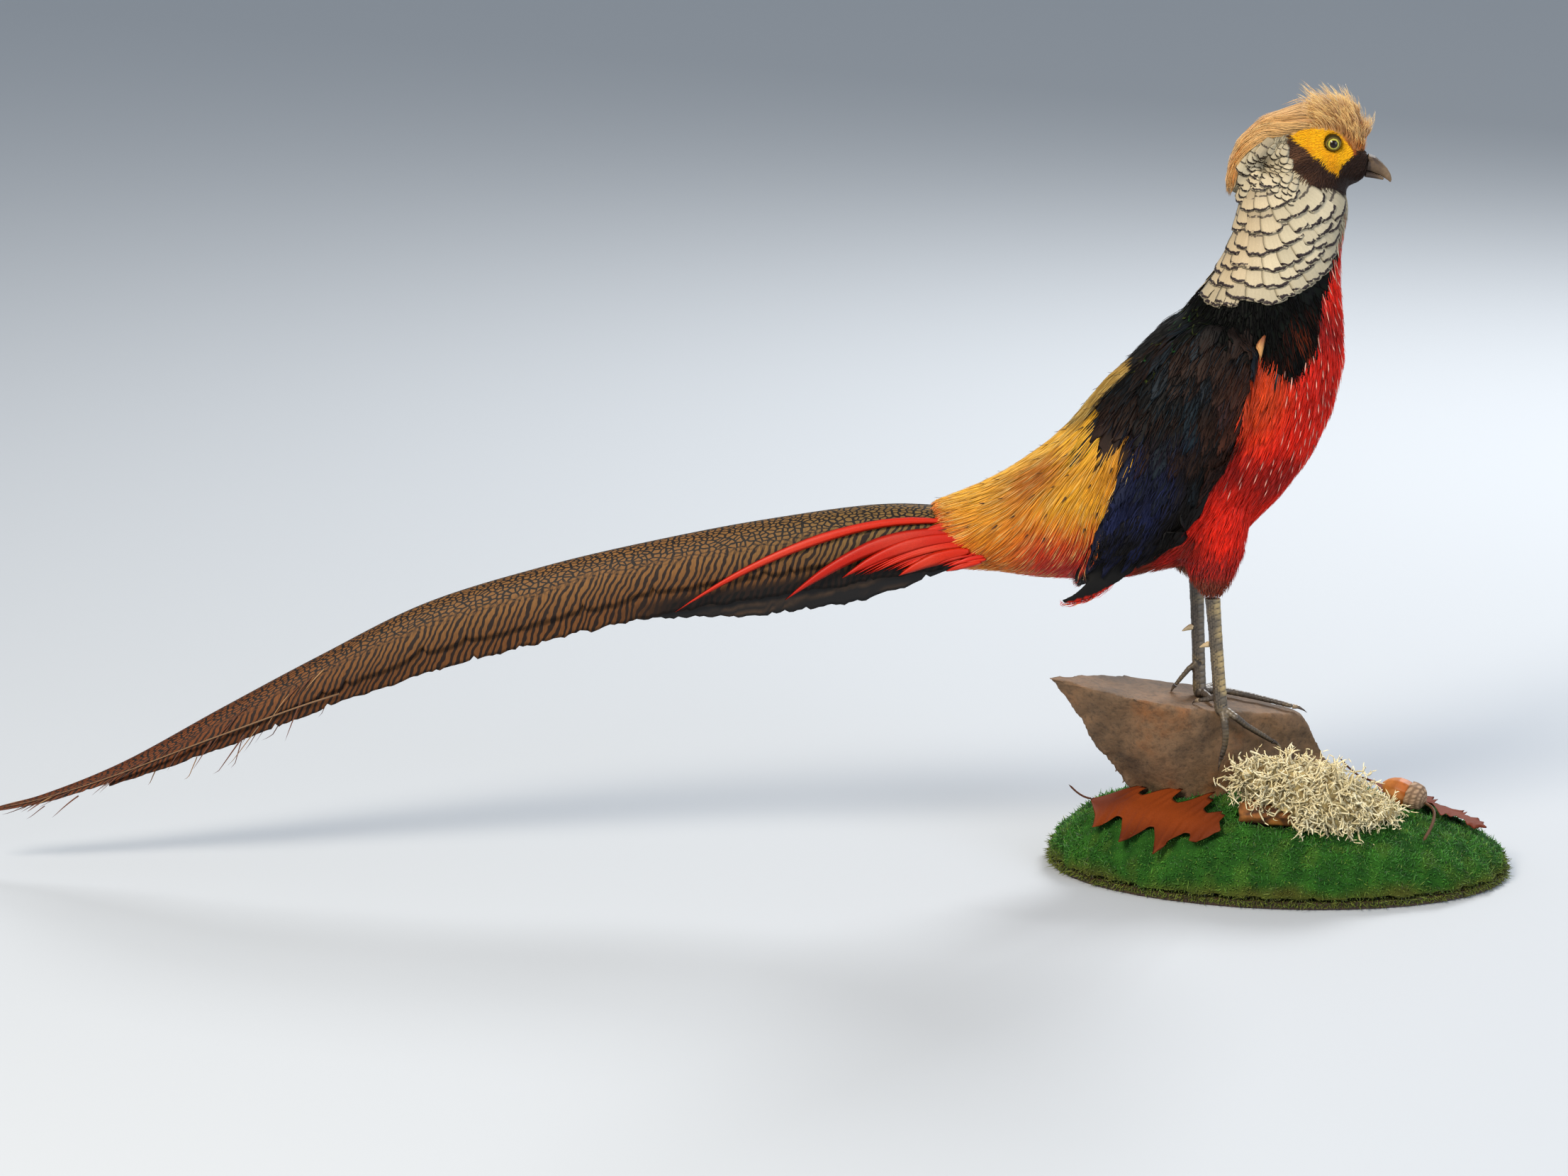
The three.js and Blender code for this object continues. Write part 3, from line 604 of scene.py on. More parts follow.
def vanes(coat, surface, roots, normals, look, tint, seed, lie=lie_of_coat, own_cells=True, sizes=None):
    """Flat feathers with a shaft that lie along the surface like shingles."""
    rng = np.random.default_rng(seed)
    count = len(roots)
    scale = np.ones(count) if sizes is None else sizes
    lengths = look.length * MM * scale * rng.uniform(0.94, 1.06, count)
    widths = look.width * MM * scale * rng.uniform(0.93, 1.07, count)
    headings = lie(roots, normals)
    stray = np.cross(normals, headings) * rng.normal(0, look.stray, count)[:, None]
    headings = unit(headings + stray)
    path, ups, ways = follow(surface, roots, normals, headings, lengths, look.rows, lie, look.turn)
    share = np.linspace(0, 1, look.rows + 1)
    u = np.linspace(-1, 1, look.columns)
    grid_s, grid_u = np.meshgrid(share, u, indexing="ij")
    ragged = rng.normal(0, look.ragged, (count, 1, look.columns)) * smooth(0.7, 1.0, share)[None, :, None]
    along = np.clip(grid_s[None] - look.corner * grid_s[None] ** 2 * np.abs(grid_u[None]) ** 2.2 + ragged,
                    0, 1)
    form = np.interp(share, *np.array(look.form, float).T)
    step = along * look.rows
    low = np.clip(step.astype(int), 0, look.rows - 1)
    part = (step - low)[..., None]
    row = np.arange(count)[:, None, None]

    def at(values):
        return values[row, low] * (1 - part) + values[row, low + 1] * part

    spine, up, way = at(path), unit(at(ups)), unit(at(ways))
    across = unit(np.cross(way, up))
    places = spine + across * (grid_u * form[:, None])[None, ..., None] * (widths / 2)[:, None, None, None]
    touched, up = surface.touch(places)
    shift = touched - places
    size = np.linalg.norm(shift, axis=-1, keepdims=True)
    places = places + shift * np.minimum(1, look.pull * MM / np.maximum(size, 1e-9))
    height = look.bed + look.rise * along + look.curl * along**4 + look.roll * grid_u[None]
    height = height - look.camber * grid_u[None] ** 2 * smooth(0.0, 0.4, along)
    height = height + 0.12 * (np.abs(grid_u[None]) < 0.05)
    height = height + look.wave * np.sin(grid_u[None] * 9 + rng.uniform(0, 6.28, (count, 1, 1))) * along
    height = np.maximum(height + rng.uniform(-0.15, 0.15, (count, 1, 1)), 0.1)
    upper = places + up * (height * MM)[..., None]
    lower = (upper - up * look.thick * MM)[:, 1:-1, 1:-1]
    vane = np.stack([(grid_u + 1) / 2, grid_s], -1)
    flat_vane = closed(vane, vane)
    points = np.concatenate([upper.reshape(count, -1, 3), lower.reshape(count, -1, 3)], 1)
    bake = cells(count, flat_vane) if own_cells else patches(roots, flat_vane)
    faces = vane_faces(look.rows + 1, look.columns)
    coat.lay(points, faces, flat_vane, bake, tint(roots, flat_vane, rng))


HAIR_LOOK = {"rows": 3, "stray": 0.1, "turn": 0.5, "rise": (0.4, 1.4), "bed": 0.2, "bow": 1.0, "pull": 1.4}
VANE_LOOK = {"rows": 8, "columns": 7, "stray": 0.05, "turn": 0.5, "bed": 0.3, "rise": 1.5, "curl": 0.3,
             "roll": 0.35, "camber": 0.5, "wave": 0.05, "corner": 0.25, "ragged": 0.012, "pull": 1.6,
             "thick": 0.16, "form": ((0, 0.3), (0.25, 0.75), (0.6, 1.0), (0.85, 0.97), (1, 0.72))}


def hair_look(length, width, **changes):
    """Length is a range, width one number, both in mm."""
    return SimpleNamespace(length=length, width=width, **(HAIR_LOOK | changes))


def vane_look(length, width, **changes):
    """Length and width in mm; form is the share of the width at shares of the length."""
    return SimpleNamespace(length=length, width=width, **(VANE_LOOK | changes))


# ---------------------------------------------------------------- finishes
def link(tree, node, links):
    """Sets a node's inputs, by name or number, to values, to outputs or to nodes' first outputs."""
    for name, value in links.items():
        if isinstance(value, bpy.types.Node):
            value = value.outputs[0]
        if isinstance(value, bpy.types.NodeSocket):
            tree.links.new(value, node.inputs[name])
        else:
            node.inputs[name].default_value = value


def add(tree, kind, links=None, stops=None, **settings):
    """Adds one node with its settings, its links and the stops of its colour ramp."""
    node = tree.nodes.new("ShaderNode" + kind)
    for name, value in settings.items():
        setattr(node, name, value)
    for place, (at, code) in enumerate(stops or ()):
        ramp = node.color_ramp.elements
        stop = ramp[place] if place < 2 else ramp.new(at)
        stop.position = at
        stop.color = linear(code)
    link(tree, node, links or {})
    return node


def new_finish(name, roughness, gloss=0.5, **sockets):
    """A material whose shader has these plain settings; returns it and what adds its nodes."""
    material = bpy.data.materials.new(name)
    material.use_nodes = True
    shader = material.node_tree.nodes["Principled BSDF"]
    sockets |= {"Roughness": roughness, "Specular_IOR_Level": gloss}
    for socket, value in sockets.items():
        shader.inputs[socket.replace("_", " ")].default_value = value
    return material, partial(add, material.node_tree)


def coloured(material, colour, height=None, strength=0.0, depth=0.0):
    """Links the colour, and a relief where there is one, to the shader."""
    tree = material.node_tree
    shader = tree.nodes["Principled BSDF"]
    links = {"Base Color": colour}
    if height:
        links["Normal"] = add(tree, "Bump", {"Height": height, "Strength": strength, "Distance": depth})
    link(tree, shader, links)
    return material


def vane_nodes(node):
    """The painted tint, the vane's own map, and its two directions."""
    vane = node("UVMap", uv_map="vane")
    split = node("SeparateXYZ", {0: vane})
    return node("Attribute", attribute_name="tint"), vane, split.outputs[0], split.outputs[1]


def toned(node, colour, grain, low, high, start=0.3, end=0.7):
    """The colour made darker and lighter by a grain, from low to high."""
    tone = node("MapRange",
                {"Value": grain, "From Min": start, "From Max": end, "To Min": low, "To Max": high})
    return node("VectorMath", {0: colour, 1: tone}, operation="MULTIPLY")


def feather_finish(name, roughness, gloss, sheen, barbs=0.5):
    """Feather keratin: the painted tint with fine barb streaks across each vane, and a silky sheen."""
    material, node = new_finish(name, roughness, gloss, Sheen_Weight=sheen, Sheen_Roughness=0.35)
    tint, _, across, along = vane_nodes(node)
    out = node("Math", {0: across, 1: 0.5}, operation="SUBTRACT")
    far = node("Math", {0: out}, operation="ABSOLUTE")
    # Barbs slant towards the tip; drawn about 0.9 mm apart, coarser than life, so that they show.
    slant = node("Math", {0: far, 1: -0.55, 2: along}, operation="MULTIPLY_ADD")
    place = node("TexCoord").outputs["Object"]
    patch = node("TexNoise", {"Vector": place, "Scale": 160.0, "Detail": 2.0})
    lined = node("CombineXYZ", {0: slant, 1: patch})
    streak = node("TexNoise", {"Vector": lined, "Scale": 22.0, "Detail": 3.0, "Roughness": 0.6})
    colour = toned(node, tint, streak, 1 - 0.34 * barbs, 1 + 0.22 * barbs)
    return coloured(material, colour, streak, 0.35 * barbs, 0.0003)


def barred_cape_finish():
    """Cream barred cape vane: satin keratin with broken black-brown bars near each tip."""
    material, node = new_finish("barred cape vane", 0.55, 0.3)
    tint, _, across, along = vane_nodes(node)
    place = node("TexCoord").outputs["Object"]
    wander = node("TexNoise", {"Vector": place, "Scale": 260.0, "Detail": 2.0})
    drift = node("TexNoise", {"Vector": place, "Scale": 900.0, "Detail": 1.0})
    # The bar follows the rounded tip, wanders by about half a millimetre, and breaks where the noise is low.
    out = node("Math", {0: across, 1: 0.5}, operation="SUBTRACT")
    far = node("Math", {0: out, 1: 2.0}, operation="POWER")
    level = node("Math", {0: far, 1: 0.12, 2: along}, operation="MULTIPLY_ADD")
    level = node("Math", {0: wander, 1: 0.12, 2: level}, operation="MULTIPLY_ADD")
    level = node("Math", {0: drift, 1: 0.05, 2: level}, operation="MULTIPLY_ADD")
    dark = None
    for centre, half, weight in ((1.02, 0.046, 1.0), (0.50, 0.038, 0.85)):
        gap = node("Math", {0: level, 1: centre}, operation="SUBTRACT")
        gap = node("Math", {0: gap}, operation="ABSOLUTE")
        bar = node("MapRange",
                   {"Value": gap, "From Min": half * 0.75, "From Max": half * 1.15, "To Min": weight,
                    "To Max": 0.0})
        dark = bar if dark is None else node("Math", {0: dark, 1: bar}, operation="MAXIMUM")
    broken = node("TexNoise", {"Vector": place, "Scale": 330.0, "Detail": 1.5})
    whole = node("MapRange", {"Value": broken, "From Min": 0.33, "From Max": 0.41})
    dark = node("Math", {0: dark, 1: whole}, operation="MULTIPLY")
    # Barb streaks along the vane: pale and grey, strongest past the bar, where the web is thin.
    barbs = node("CombineXYZ", {0: across, 1: drift})
    streak = node("TexNoise", {"Vector": barbs, "Scale": 14.0, "Detail": 3.0})
    web = toned(node, tint, streak, 0.82, 1.1)
    colour = node("Mix", {0: dark, 6: web, 7: linear("241715")}, data_type="RGBA")
    return coloured(material, colour.outputs[2], streak, 0.2, 0.0003)


def scaled_mantle_finish():
    """Mantle vane: black keratin with a beetle-green gloss and an olive rim."""
    material, node = new_finish("green scaled mantle vane", 0.6, 0.07)
    tint, _, across, along = vane_nodes(node)
    out = node("Math", {0: across, 1: 0.5}, operation="SUBTRACT")
    far = node("Math", {0: out, 1: 2.0}, operation="POWER")
    level = node("Math", {0: far, 1: 1.1, 2: along}, operation="MULTIPLY_ADD")
    place = node("TexCoord").outputs["Object"]
    drift = node("TexNoise", {"Vector": place, "Scale": 240.0, "Detail": 2.0})
    level = node("Math", {0: drift, 1: 0.1, 2: level}, operation="MULTIPLY_ADD")
    rim = node("MapRange", {"Value": level, "From Min": 0.93, "From Max": 0.99})
    green = node("MapRange", {"Value": drift, "From Min": 0.35, "From Max": 0.6})
    web = node("Mix", {0: green, 6: linear("040404"), 7: linear("080D07")}, data_type="RGBA")
    colour = node("Mix", {0: rim, 6: web.outputs[2], 7: tint}, data_type="RGBA")
    return coloured(material, colour.outputs[2])


def tail_vane_finish():
    """Long tail vane: smooth keratin, tan spots in a black net above and slanting bars below."""
    material, node = new_finish("reticulated tail vane", 0.58, 0.2)
    # Across the map is metres along the tail, and up it metres down from the ridge.
    tint, vane, along, down = vane_nodes(node)
    warp = node("TexNoise", {"Vector": vane, "Scale": 95.0, "Detail": 2.0})
    bend = node("TexNoise", {"Vector": vane, "Scale": 26.0, "Detail": 1.0})
    moved = node("VectorMath", {0: warp.outputs[1], 1: (0.5, 0.5, 0.5)}, operation="SUBTRACT")
    moved = node("VectorMath", {0: moved, 1: (0.006, 0.0045, 0.0), 2: vane}, operation="MULTIPLY_ADD")
    # Spots about 4.6 mm long and 2.9 mm high.
    spots = node("VectorMath", {0: moved, 1: (1 / 0.0046, 1 / 0.0029, 1.0)}, operation="MULTIPLY")
    net = node("TexVoronoi", {"Vector": spots, "Scale": 1.0, "Randomness": 0.82}, feature="DISTANCE_TO_EDGE",
               voronoi_dimensions="2D")
    spot = node("MapRange", {"Value": net, "From Min": 0.135, "From Max": 0.2})
    # Narrow wavy bars that slant towards the tip down the vane.
    lean = node("Math", {0: down, 1: -0.6, 2: along}, operation="MULTIPLY_ADD")
    lean = node("Math", {0: bend, 1: 0.012, 2: lean}, operation="MULTIPLY_ADD")
    lean = node("Math", {0: warp, 1: 0.008, 2: lean}, operation="MULTIPLY_ADD")
    turn = node("Math", {0: lean, 1: 2 * np.pi / 0.005}, operation="MULTIPLY")
    swing = node("Math", {0: turn}, operation="SINE")
    bar = node("MapRange", {"Value": swing, "From Min": -0.35, "From Max": 0.15})
    # The spots give way to bars about halfway down.
    level = node("Math", {0: bend, 1: 0.012, 2: down}, operation="MULTIPLY_ADD")
    lower = node("MapRange", {"Value": level, "From Min": 0.029, "From Max": 0.037})
    pattern = node("Mix", {0: lower, 2: spot, 3: bar}, data_type="FLOAT")
    barbs = node("VectorMath", {0: vane, 1: (1400.0, 160.0, 1.0)}, operation="MULTIPLY")
    streak = node("TexNoise", {"Vector": barbs, "Scale": 1.0, "Detail": 2.0})
    tan = toned(node, tint, streak, 0.78, 1.15)
    black = node("Mix", {0: lower, 6: linear("120D0A"), 7: linear("1C100A")}, data_type="RGBA")
    colour = node("Mix", {0: pattern, 6: black.outputs[2], 7: tan}, data_type="RGBA")
    return coloured(material, colour.outputs[2], streak, 0.25, 0.0004)


def skin_finish():
    """Tanned skin under the coat: matt, in the coat's own colours, darkened as painted shade deep among the
    feathers.
    """
    material, node = new_finish("tanned skin with painted shade", 0.8, 0.2)
    tint = node("Attribute", attribute_name="tint")
    place = node("TexCoord").outputs["Object"]
    grain = node("TexNoise", {"Vector": place, "Scale": 700.0, "Detail": 2.0})
    # Painted shade: the coat's colours at 0.45 to 0.85 of their strength, for the shade deep in the coat.
    return coloured(material, toned(node, tint, grain, 0.45, 0.85, 0.0, 1.0))


def glass_eye_finish():
    """Painted glass eye: a wet, mirror-smooth dome over a dark pupil and a thin yellow-green iris."""
    material, node = new_finish("painted glass eye", 0.05, 0.3)
    place = node("TexCoord").outputs["Object"]
    flat = node("VectorMath", {0: place, 1: (1.0, 0.0, 1.0)}, operation="MULTIPLY")
    centre = (EYE_AT[0] * MM, 0.0, EYE_AT[1] * MM)
    gap = node("VectorMath", {0: flat, 1: centre}, operation="DISTANCE")
    ring = node("TexNoise", {"Vector": place, "Scale": 900.0})
    rough = node("Math", {0: ring, 1: 0.0006, 2: gap.outputs["Value"]}, operation="MULTIPLY_ADD")
    share = node("Math", {0: rough, 1: 0.0065}, operation="DIVIDE")
    ramp = node("ValToRGB", {0: share},
                stops=[(0.0, "080302"), (0.415, "1A0C06"), (0.45, "5E501C"), (0.485, "B4B04A"),
                       (0.57, "A49C3C"), (0.63, "3E3814"), (1.0, "15110A")])
    return coloured(material, ramp)


def painted_finish(name, roughness, gloss, grain, depth):
    """Horn, scales or bark: the colours painted on the points, with a fine grain in colour and relief."""
    material, node = new_finish(name, roughness, gloss)
    tint = node("Attribute", attribute_name="tint")
    place = node("TexCoord").outputs["Object"]
    fine = node("TexNoise", {"Vector": place, "Scale": grain, "Detail": 4.0, "Roughness": 0.65})
    colour = toned(node, tint, fine, 0.78, 1.2)
    return coloured(material, colour, fine, 0.5, depth)


def board_finish():
    """Dark stained pine board: straight grain, satin."""
    material, node = new_finish("dark stained pine board", 0.55)
    place = node("TexCoord").outputs["Object"]
    long = node("VectorMath", {0: place, 1: (6.0, 90.0, 160.0)}, operation="MULTIPLY")
    grain = node("TexNoise", {"Vector": long, "Scale": 1.0, "Detail": 5.0})
    ramp = node("ValToRGB", {0: grain}, stops=[(0.3, "2A1A0F"), (0.7, "4A3220")])
    return coloured(material, ramp)


def stone_finish():
    """Weathered field stone: brown-grey, rust-stained, rough on its broken face and smoother on top."""
    material, node = new_finish("weathered field stone", 0.72, 0.35)
    place = node("TexCoord").outputs["Object"]
    broad = node("TexNoise", {"Vector": place, "Scale": 22.0, "Detail": 5.0, "Roughness": 0.6})
    fine = node("TexNoise", {"Vector": place, "Scale": 260.0, "Detail": 5.0, "Roughness": 0.7})
    base = node("ValToRGB", {0: broad},
                stops=[(0.30, "4E3F31"), (0.46, "6A553F"), (0.58, "7A6046"), (0.74, "86562C")])
    speck = node("ValToRGB", {0: fine}, stops=[(0.32, "2A221E"), (0.68, "B39C86")])
    colour = node("Mix", {0: 0.36, 6: base, 7: speck}, data_type="RGBA", blend_type="SOFT_LIGHT")
    colour = toned(node, colour.outputs[2], fine, 0.74, 1.05, 0.34, 0.5)
    return coloured(material, colour, fine, 0.6, 0.0012)


def floor_finish():
    """Plain pale studio floor: matt, even."""
    material, _ = new_finish("matt pale floor", 0.9, 0.15)
    return coloured(material, linear("B4B8BC"))


# ---------------------------------------------------------------- settings a user would change
def colour_setting(name, about, code):
    return bpy.props.FloatVectorProperty(name=name, description=about, subtype="COLOR", size=3, min=0, max=1,
                                         default=linear(code)[:3])


def length_setting(name, about, mm):
    return bpy.props.FloatProperty(name=name, description=about, subtype="DISTANCE", unit="LENGTH", min=0,
                                   default=mm * MM)


class PlumageSettings(bpy.types.PropertyGroup):
    """Sizes and colours of the feathers"""
    scarlet: colour_setting("Scarlet", "Breast, belly and tail plumes", "EC240A")
    gold: colour_setting("Gold", "Rump and lower back", "F2B426")
    face: colour_setting("Face", "Golden feathers round the eye", "F0A80C")
    cheek: colour_setting("Cheek", "Ear coverts and chin", "3E261A")
    crest: colour_setting("Crest", "Silky crest and mane", "D8A45E")
    cape: colour_setting("Cape", "Ground colour of the barred cape", "B8AB8D")
    tan: colour_setting("Tail tan", "Spots and bars of the long tail", "A9743A")
    coat_depth: length_setting("Coat depth", "How far the skin lies inside the body's outline", 2.8)
    cape_length: length_setting("Cape feather length", "Length of one barred cape feather", 24)
    cape_width: length_setting("Cape feather width", "Width of one barred cape feather", 17)
    hair_spacing: length_setting("Rump spacing", "Distance between the fine feathers of the rump", 1.35)


class BaseSettings(bpy.types.PropertyGroup):
    """Sizes of what covers the base"""
    moss_spacing: length_setting("Moss spacing", "Distance between moss shoots", 1.5)
    moss_height: length_setting("Moss height", "Height of the tallest moss shoots", 2.6)
    lichen_spacing: length_setting("Lichen spacing", "Distance between lichen tufts", 2.8)


class StageSettings(bpy.types.PropertyGroup):
    """Camera and light"""
    camera_distance: length_setting("Camera distance", "From the camera to the middle of the bird", 3000)
    camera_pitch: bpy.props.FloatProperty(name="Camera pitch", description="How far the camera looks down",
                                          subtype="ANGLE", default=np.radians(14))
    key_power: bpy.props.FloatProperty(name="Key light", description="Power of the key light, in watts",
                                       subtype="POWER", default=105)


# ---------------------------------------------------------------- markings
def rump_edge(x):
    """The height of the rump's lower edge at x, in mm."""
    return np.interp(x, [-236, -210, -180, -150, -120, -100], [236, 226, 216, 206, 204, 214])


def markings(places, plumage):
    """The ground colour of the plumage at these places, the same for the skin and the feathers over it."""
    x, z = side_view(places)
    blotch = ripple(places, 0.03, 3)
    scarlet = np.array(plumage.scarlet)
    colour = mixed(scarlet, shade("960E06"), np.clip(0.2 + 0.5 * blotch, 0, 1))
    bend = smooth(34, 8, np.hypot(x + 26, 0.7 * (z - 350)))
    colour = mixed(colour, shade("C04A12"), 0.7 * bend)
    brown_flank = smooth(-44, -70, x) * smooth(262, 228, z)
    colour = mixed(colour, shade("6E2A14"), np.clip(0.55 + 0.4 * blotch, 0, 1) * brown_flank)
    gold = np.array(plumage.gold)
    rump = smooth(-96, -106, x)
    back = mixed(gold, shade("BE6E10"), np.clip(0.2 + 0.6 * ripple(places, 0.022, 5), 0, 1))
    back = mixed(back, shade("DC7A10"), 0.6 * smooth(290, 236, z))
    low_edge = rump_edge(x)
    back = layered(back, ("DC6414", 0.6 * smooth(low_edge + 30, low_edge + 8, z)),
                   ("E2581A", smooth(-188, -160, x) * smooth(280, 244, z)),
                   ("D0240C", smooth(-176, -152, x) * smooth(264, 232, z)),
                   ("E0641A", 0.5 * smooth(-206, -222, x)))
    back = mixed(back, scarlet, smooth(-222, -236, x))
    back = mixed(back, shade("D8501A"), 0.5 * smooth(-206, -222, x) * smooth(240, 226, z))
    colour = mixed(colour, back, rump)
    dark = shade("0E0D0C")
    wing = inside(WING_EDGE, places) & ((np.abs(places[..., 1]) / MM > 14) | (z > 300))
    colour = np.where((wing | inside(SHOULDER_EDGE, places))[..., None], dark, colour)
    cape = in_cape(places, 0.0)
    colour = np.where(cape[..., None], np.array(plumage.cape) * 0.8, colour)
    brow = (x > -8) & (z > 482)
    colour = np.where(brow[..., None],
                      mixed(np.array(plumage.crest), shade("A4561F"), smooth(18, 36, x)), colour)
    colour = np.where(inside(CREST_EDGE, places)[..., None], np.array(plumage.crest) * 0.7, colour)
    colour = np.where(inside(CHEEK_EDGE, places)[..., None], np.array(plumage.cheek), colour)
    return np.where(inside(FACE_EDGE, places)[..., None], np.array(plumage.face), colour)


def cape_polar(places):
    """Distance from the cape's heart and angle below the horizontal there, in mm and degrees."""
    x = places[..., 0] / MM - CAPE_HEART[0]
    z = places[..., 2] / MM - CAPE_HEART[1]
    return np.hypot(x, z), np.degrees(np.arctan2(z, x))


def cape_rim(angle):
    return np.interp(angle, [at for at, _ in CAPE_RIM], [far for _, far in CAPE_RIM])


def in_cape(places, margin):
    far, angle = cape_polar(places)
    high = places[..., 2] / MM > 470
    return ((far < cape_rim(angle) + margin) | high) & (places[..., 2] / MM > 360)


def on_head(places):
    return inside(CREST_EDGE, places) | inside(FACE_EDGE, places) | inside(CHEEK_EDGE, places)


def plain(code):
    """One ground colour everywhere."""
    return lambda places: np.tile(shade(code), (len(places), 1))


def painted(ground, root_shade=0.55, lit_tip=1.12, spread=0.14, tip=None, tip_share=0.0):
    """Colours per row for each feather: darker at the root as painted shade, lighter at the tip as painted
    light, and each one's own.
    """
    def paint(roots, share, rng):
        colour = ground(roots)[:, None, :] * (1 + rng.normal(0, spread, (len(roots), 1, 1)))
        # Painted shade at the root, where the feathers over it shade it, and painted light at the tip.
        ramp = root_shade + (lit_tip - root_shade) * smooth(0.0, 0.75, share)
        colour = colour * ramp[None, :, None]
        if tip is not None:
            some = (rng.random(len(roots)) < tip_share)[:, None] * smooth(0.45, 0.9, share)[None]
            colour = mixed(colour, tip, some)
        return np.clip(colour, 0, 1)
    return paint


# ---------------------------------------------------------------- the skin
FLESH = ["head", "crest", "neck", "trunk", "thigh_right", "thigh_left", "wing_right", "wing_left"]
SKIN_VOXEL = 0.0019


def eye_gap(places):
    """How far the places are from the middle of the eye in the side view, in mm."""
    return np.hypot(places[:, 0] / MM - EYE_AT[0], places[:, 2] / MM - EYE_AT[1])


def coat_depth(places, full):
    """How deep the skin lies under the outline, in metres."""
    x, z = side_view(places)
    head = smooth(462, 478, z) * smooth(-16, -4, x)
    depth = full / MM * (1 - head) + 0.9 * head
    mane = inside(CREST_EDGE, places)
    tuft = smooth(2, 16, x) * smooth(506, 516, z)
    depth = np.where(mane, 3.0 + 6.0 * tuft, depth)
    return depth * MM


class PHEASANT_OT_skin(bpy.types.Operator):
    """Makes one skin of the head, neck, trunk, thighs and wings, inside them by the coat's depth"""
    bl_idname = "pheasant.skin"
    bl_label = "Skin"

    def execute(self, context):
        plumage = context.scene.pheasant_plumage
        skin = remeshed(FLESH, "skin", SKIN_VOXEL, 6, grow=0.0004)
        outline = Surface(skin)
        places, normals = outline.points, outline.normals
        depth = coat_depth(places, plumage.coat_depth)
        thick = []
        for place, normal in zip(places, normals):
            hit = outline.tree.ray_cast(Vector(place - normal * 0.0003), Vector(-normal))
            thick.append(hit[3] if hit[3] is not None else 1.0)
        places = places - normals * np.minimum(depth, 0.3 * np.array(thick))[:, None]
        move_points(skin, self.sockets(places))
        apply(skin, "SMOOTH", factor=0.5, iterations=2)
        colour = markings(points_of(skin.data), plumage)
        finish_piece(skin, skin_finish(), "scarlet_feathers", *FLESH, colour=colour)
        surfaces["skin"] = Surface(skin)
        return {"FINISHED"}

    def sockets(self, places):
        """The skin pressed in round each eye, so that the glass sits in the head."""
        gap = eye_gap(places)
        out = np.abs(places[:, 1]) / MM
        floor = 14.2 + 4.0 * smooth(5.0, SOCKET_RADIUS, gap)
        pressed = np.where((gap < SOCKET_RADIUS) & (out > 8), np.minimum(out, floor), out)
        places[:, 1] = np.sign(places[:, 1]) * pressed * MM
        return places


class PHEASANT_OT_eyes(bpy.types.Operator):
    """Makes the two glass eyes and the bare lids round them"""
    bl_idname = "pheasant.eyes"
    bl_label = "Eyes and lids"

    def execute(self, context):
        glass = glass_eye_finish()
        lid_skin = painted_finish("bare olive lid skin", 0.7, 0.25, 900.0, 0.0003)
        for name, side in SIDES.items():
            centre = (EYE_AT[0] * MM, side * EYE_OUT * MM, EYE_AT[1] * MM)
            eye = primitive(bpy.ops.mesh.primitive_uv_sphere_add, f"eye_glass_{name}", segments=64,
                            ring_count=40, radius=EYE_RADIUS * MM, location=centre,
                            rotation=(np.pi / 2, 0, 0))
            self.cornea(eye, side)
            shade_smooth(eye)
            finish_piece(eye, glass, "glass_eye", f"eye_{name}")
            self.lid(name, side, lid_skin)
        return {"FINISHED"}

    def cornea(self, eye, side):
        """The clear dome stands a little proud of the ball."""
        places = points_of(eye.data)
        gap = eye_gap(places)
        front = places[:, 1] * side / MM > EYE_OUT
        places[:, 1] += side * MM * 0.5 * front * smooth(LID_RADIUS, 0.5, gap)
        move_points(eye, places)

    def lid(self, name, side, lid_skin):
        """A wrinkled ring of bare skin, drawn to a point in front and behind."""
        lid = primitive(bpy.ops.mesh.primitive_torus_add, f"eyelid_{name}", major_segments=72,
                        minor_segments=14, major_radius=LID_RADIUS * MM, minor_radius=LID_THICKNESS * MM,
                        rotation=(np.pi / 2, 0, 0),
                        location=(EYE_AT[0] * MM, side * LID_OUT * MM, EYE_AT[1] * MM))
        places = points_of(lid.data)
        x = places[:, 0] / MM - EYE_AT[0]
        z = places[:, 2] / MM - EYE_AT[1]
        angle = np.arctan2(z, x)
        gap = np.hypot(x, z)
        wrinkle = 0.12 * np.sin(angle * 23) * smooth(4.1, 5.0, gap) + 0.08 * np.sin(gap * 9)
        corner = np.abs(np.cos(angle)) ** 8
        places[:, 0] = (EYE_AT[0] + x * (1 + 0.07 * corner)) * MM
        places[:, 2] = (EYE_AT[1] + z * 0.94) * MM
        places[:, 1] += side * (wrinkle - 0.6 * smooth(4.3, 5.0, gap)) * MM
        move_points(lid, places)
        inner = smooth(4.4, 3.8, gap)[:, None]
        finish_piece(lid, lid_skin, "face_feathers",
                     colour=shade("6A5412") * (1 - inner) + shade("5A5A1C") * inner)


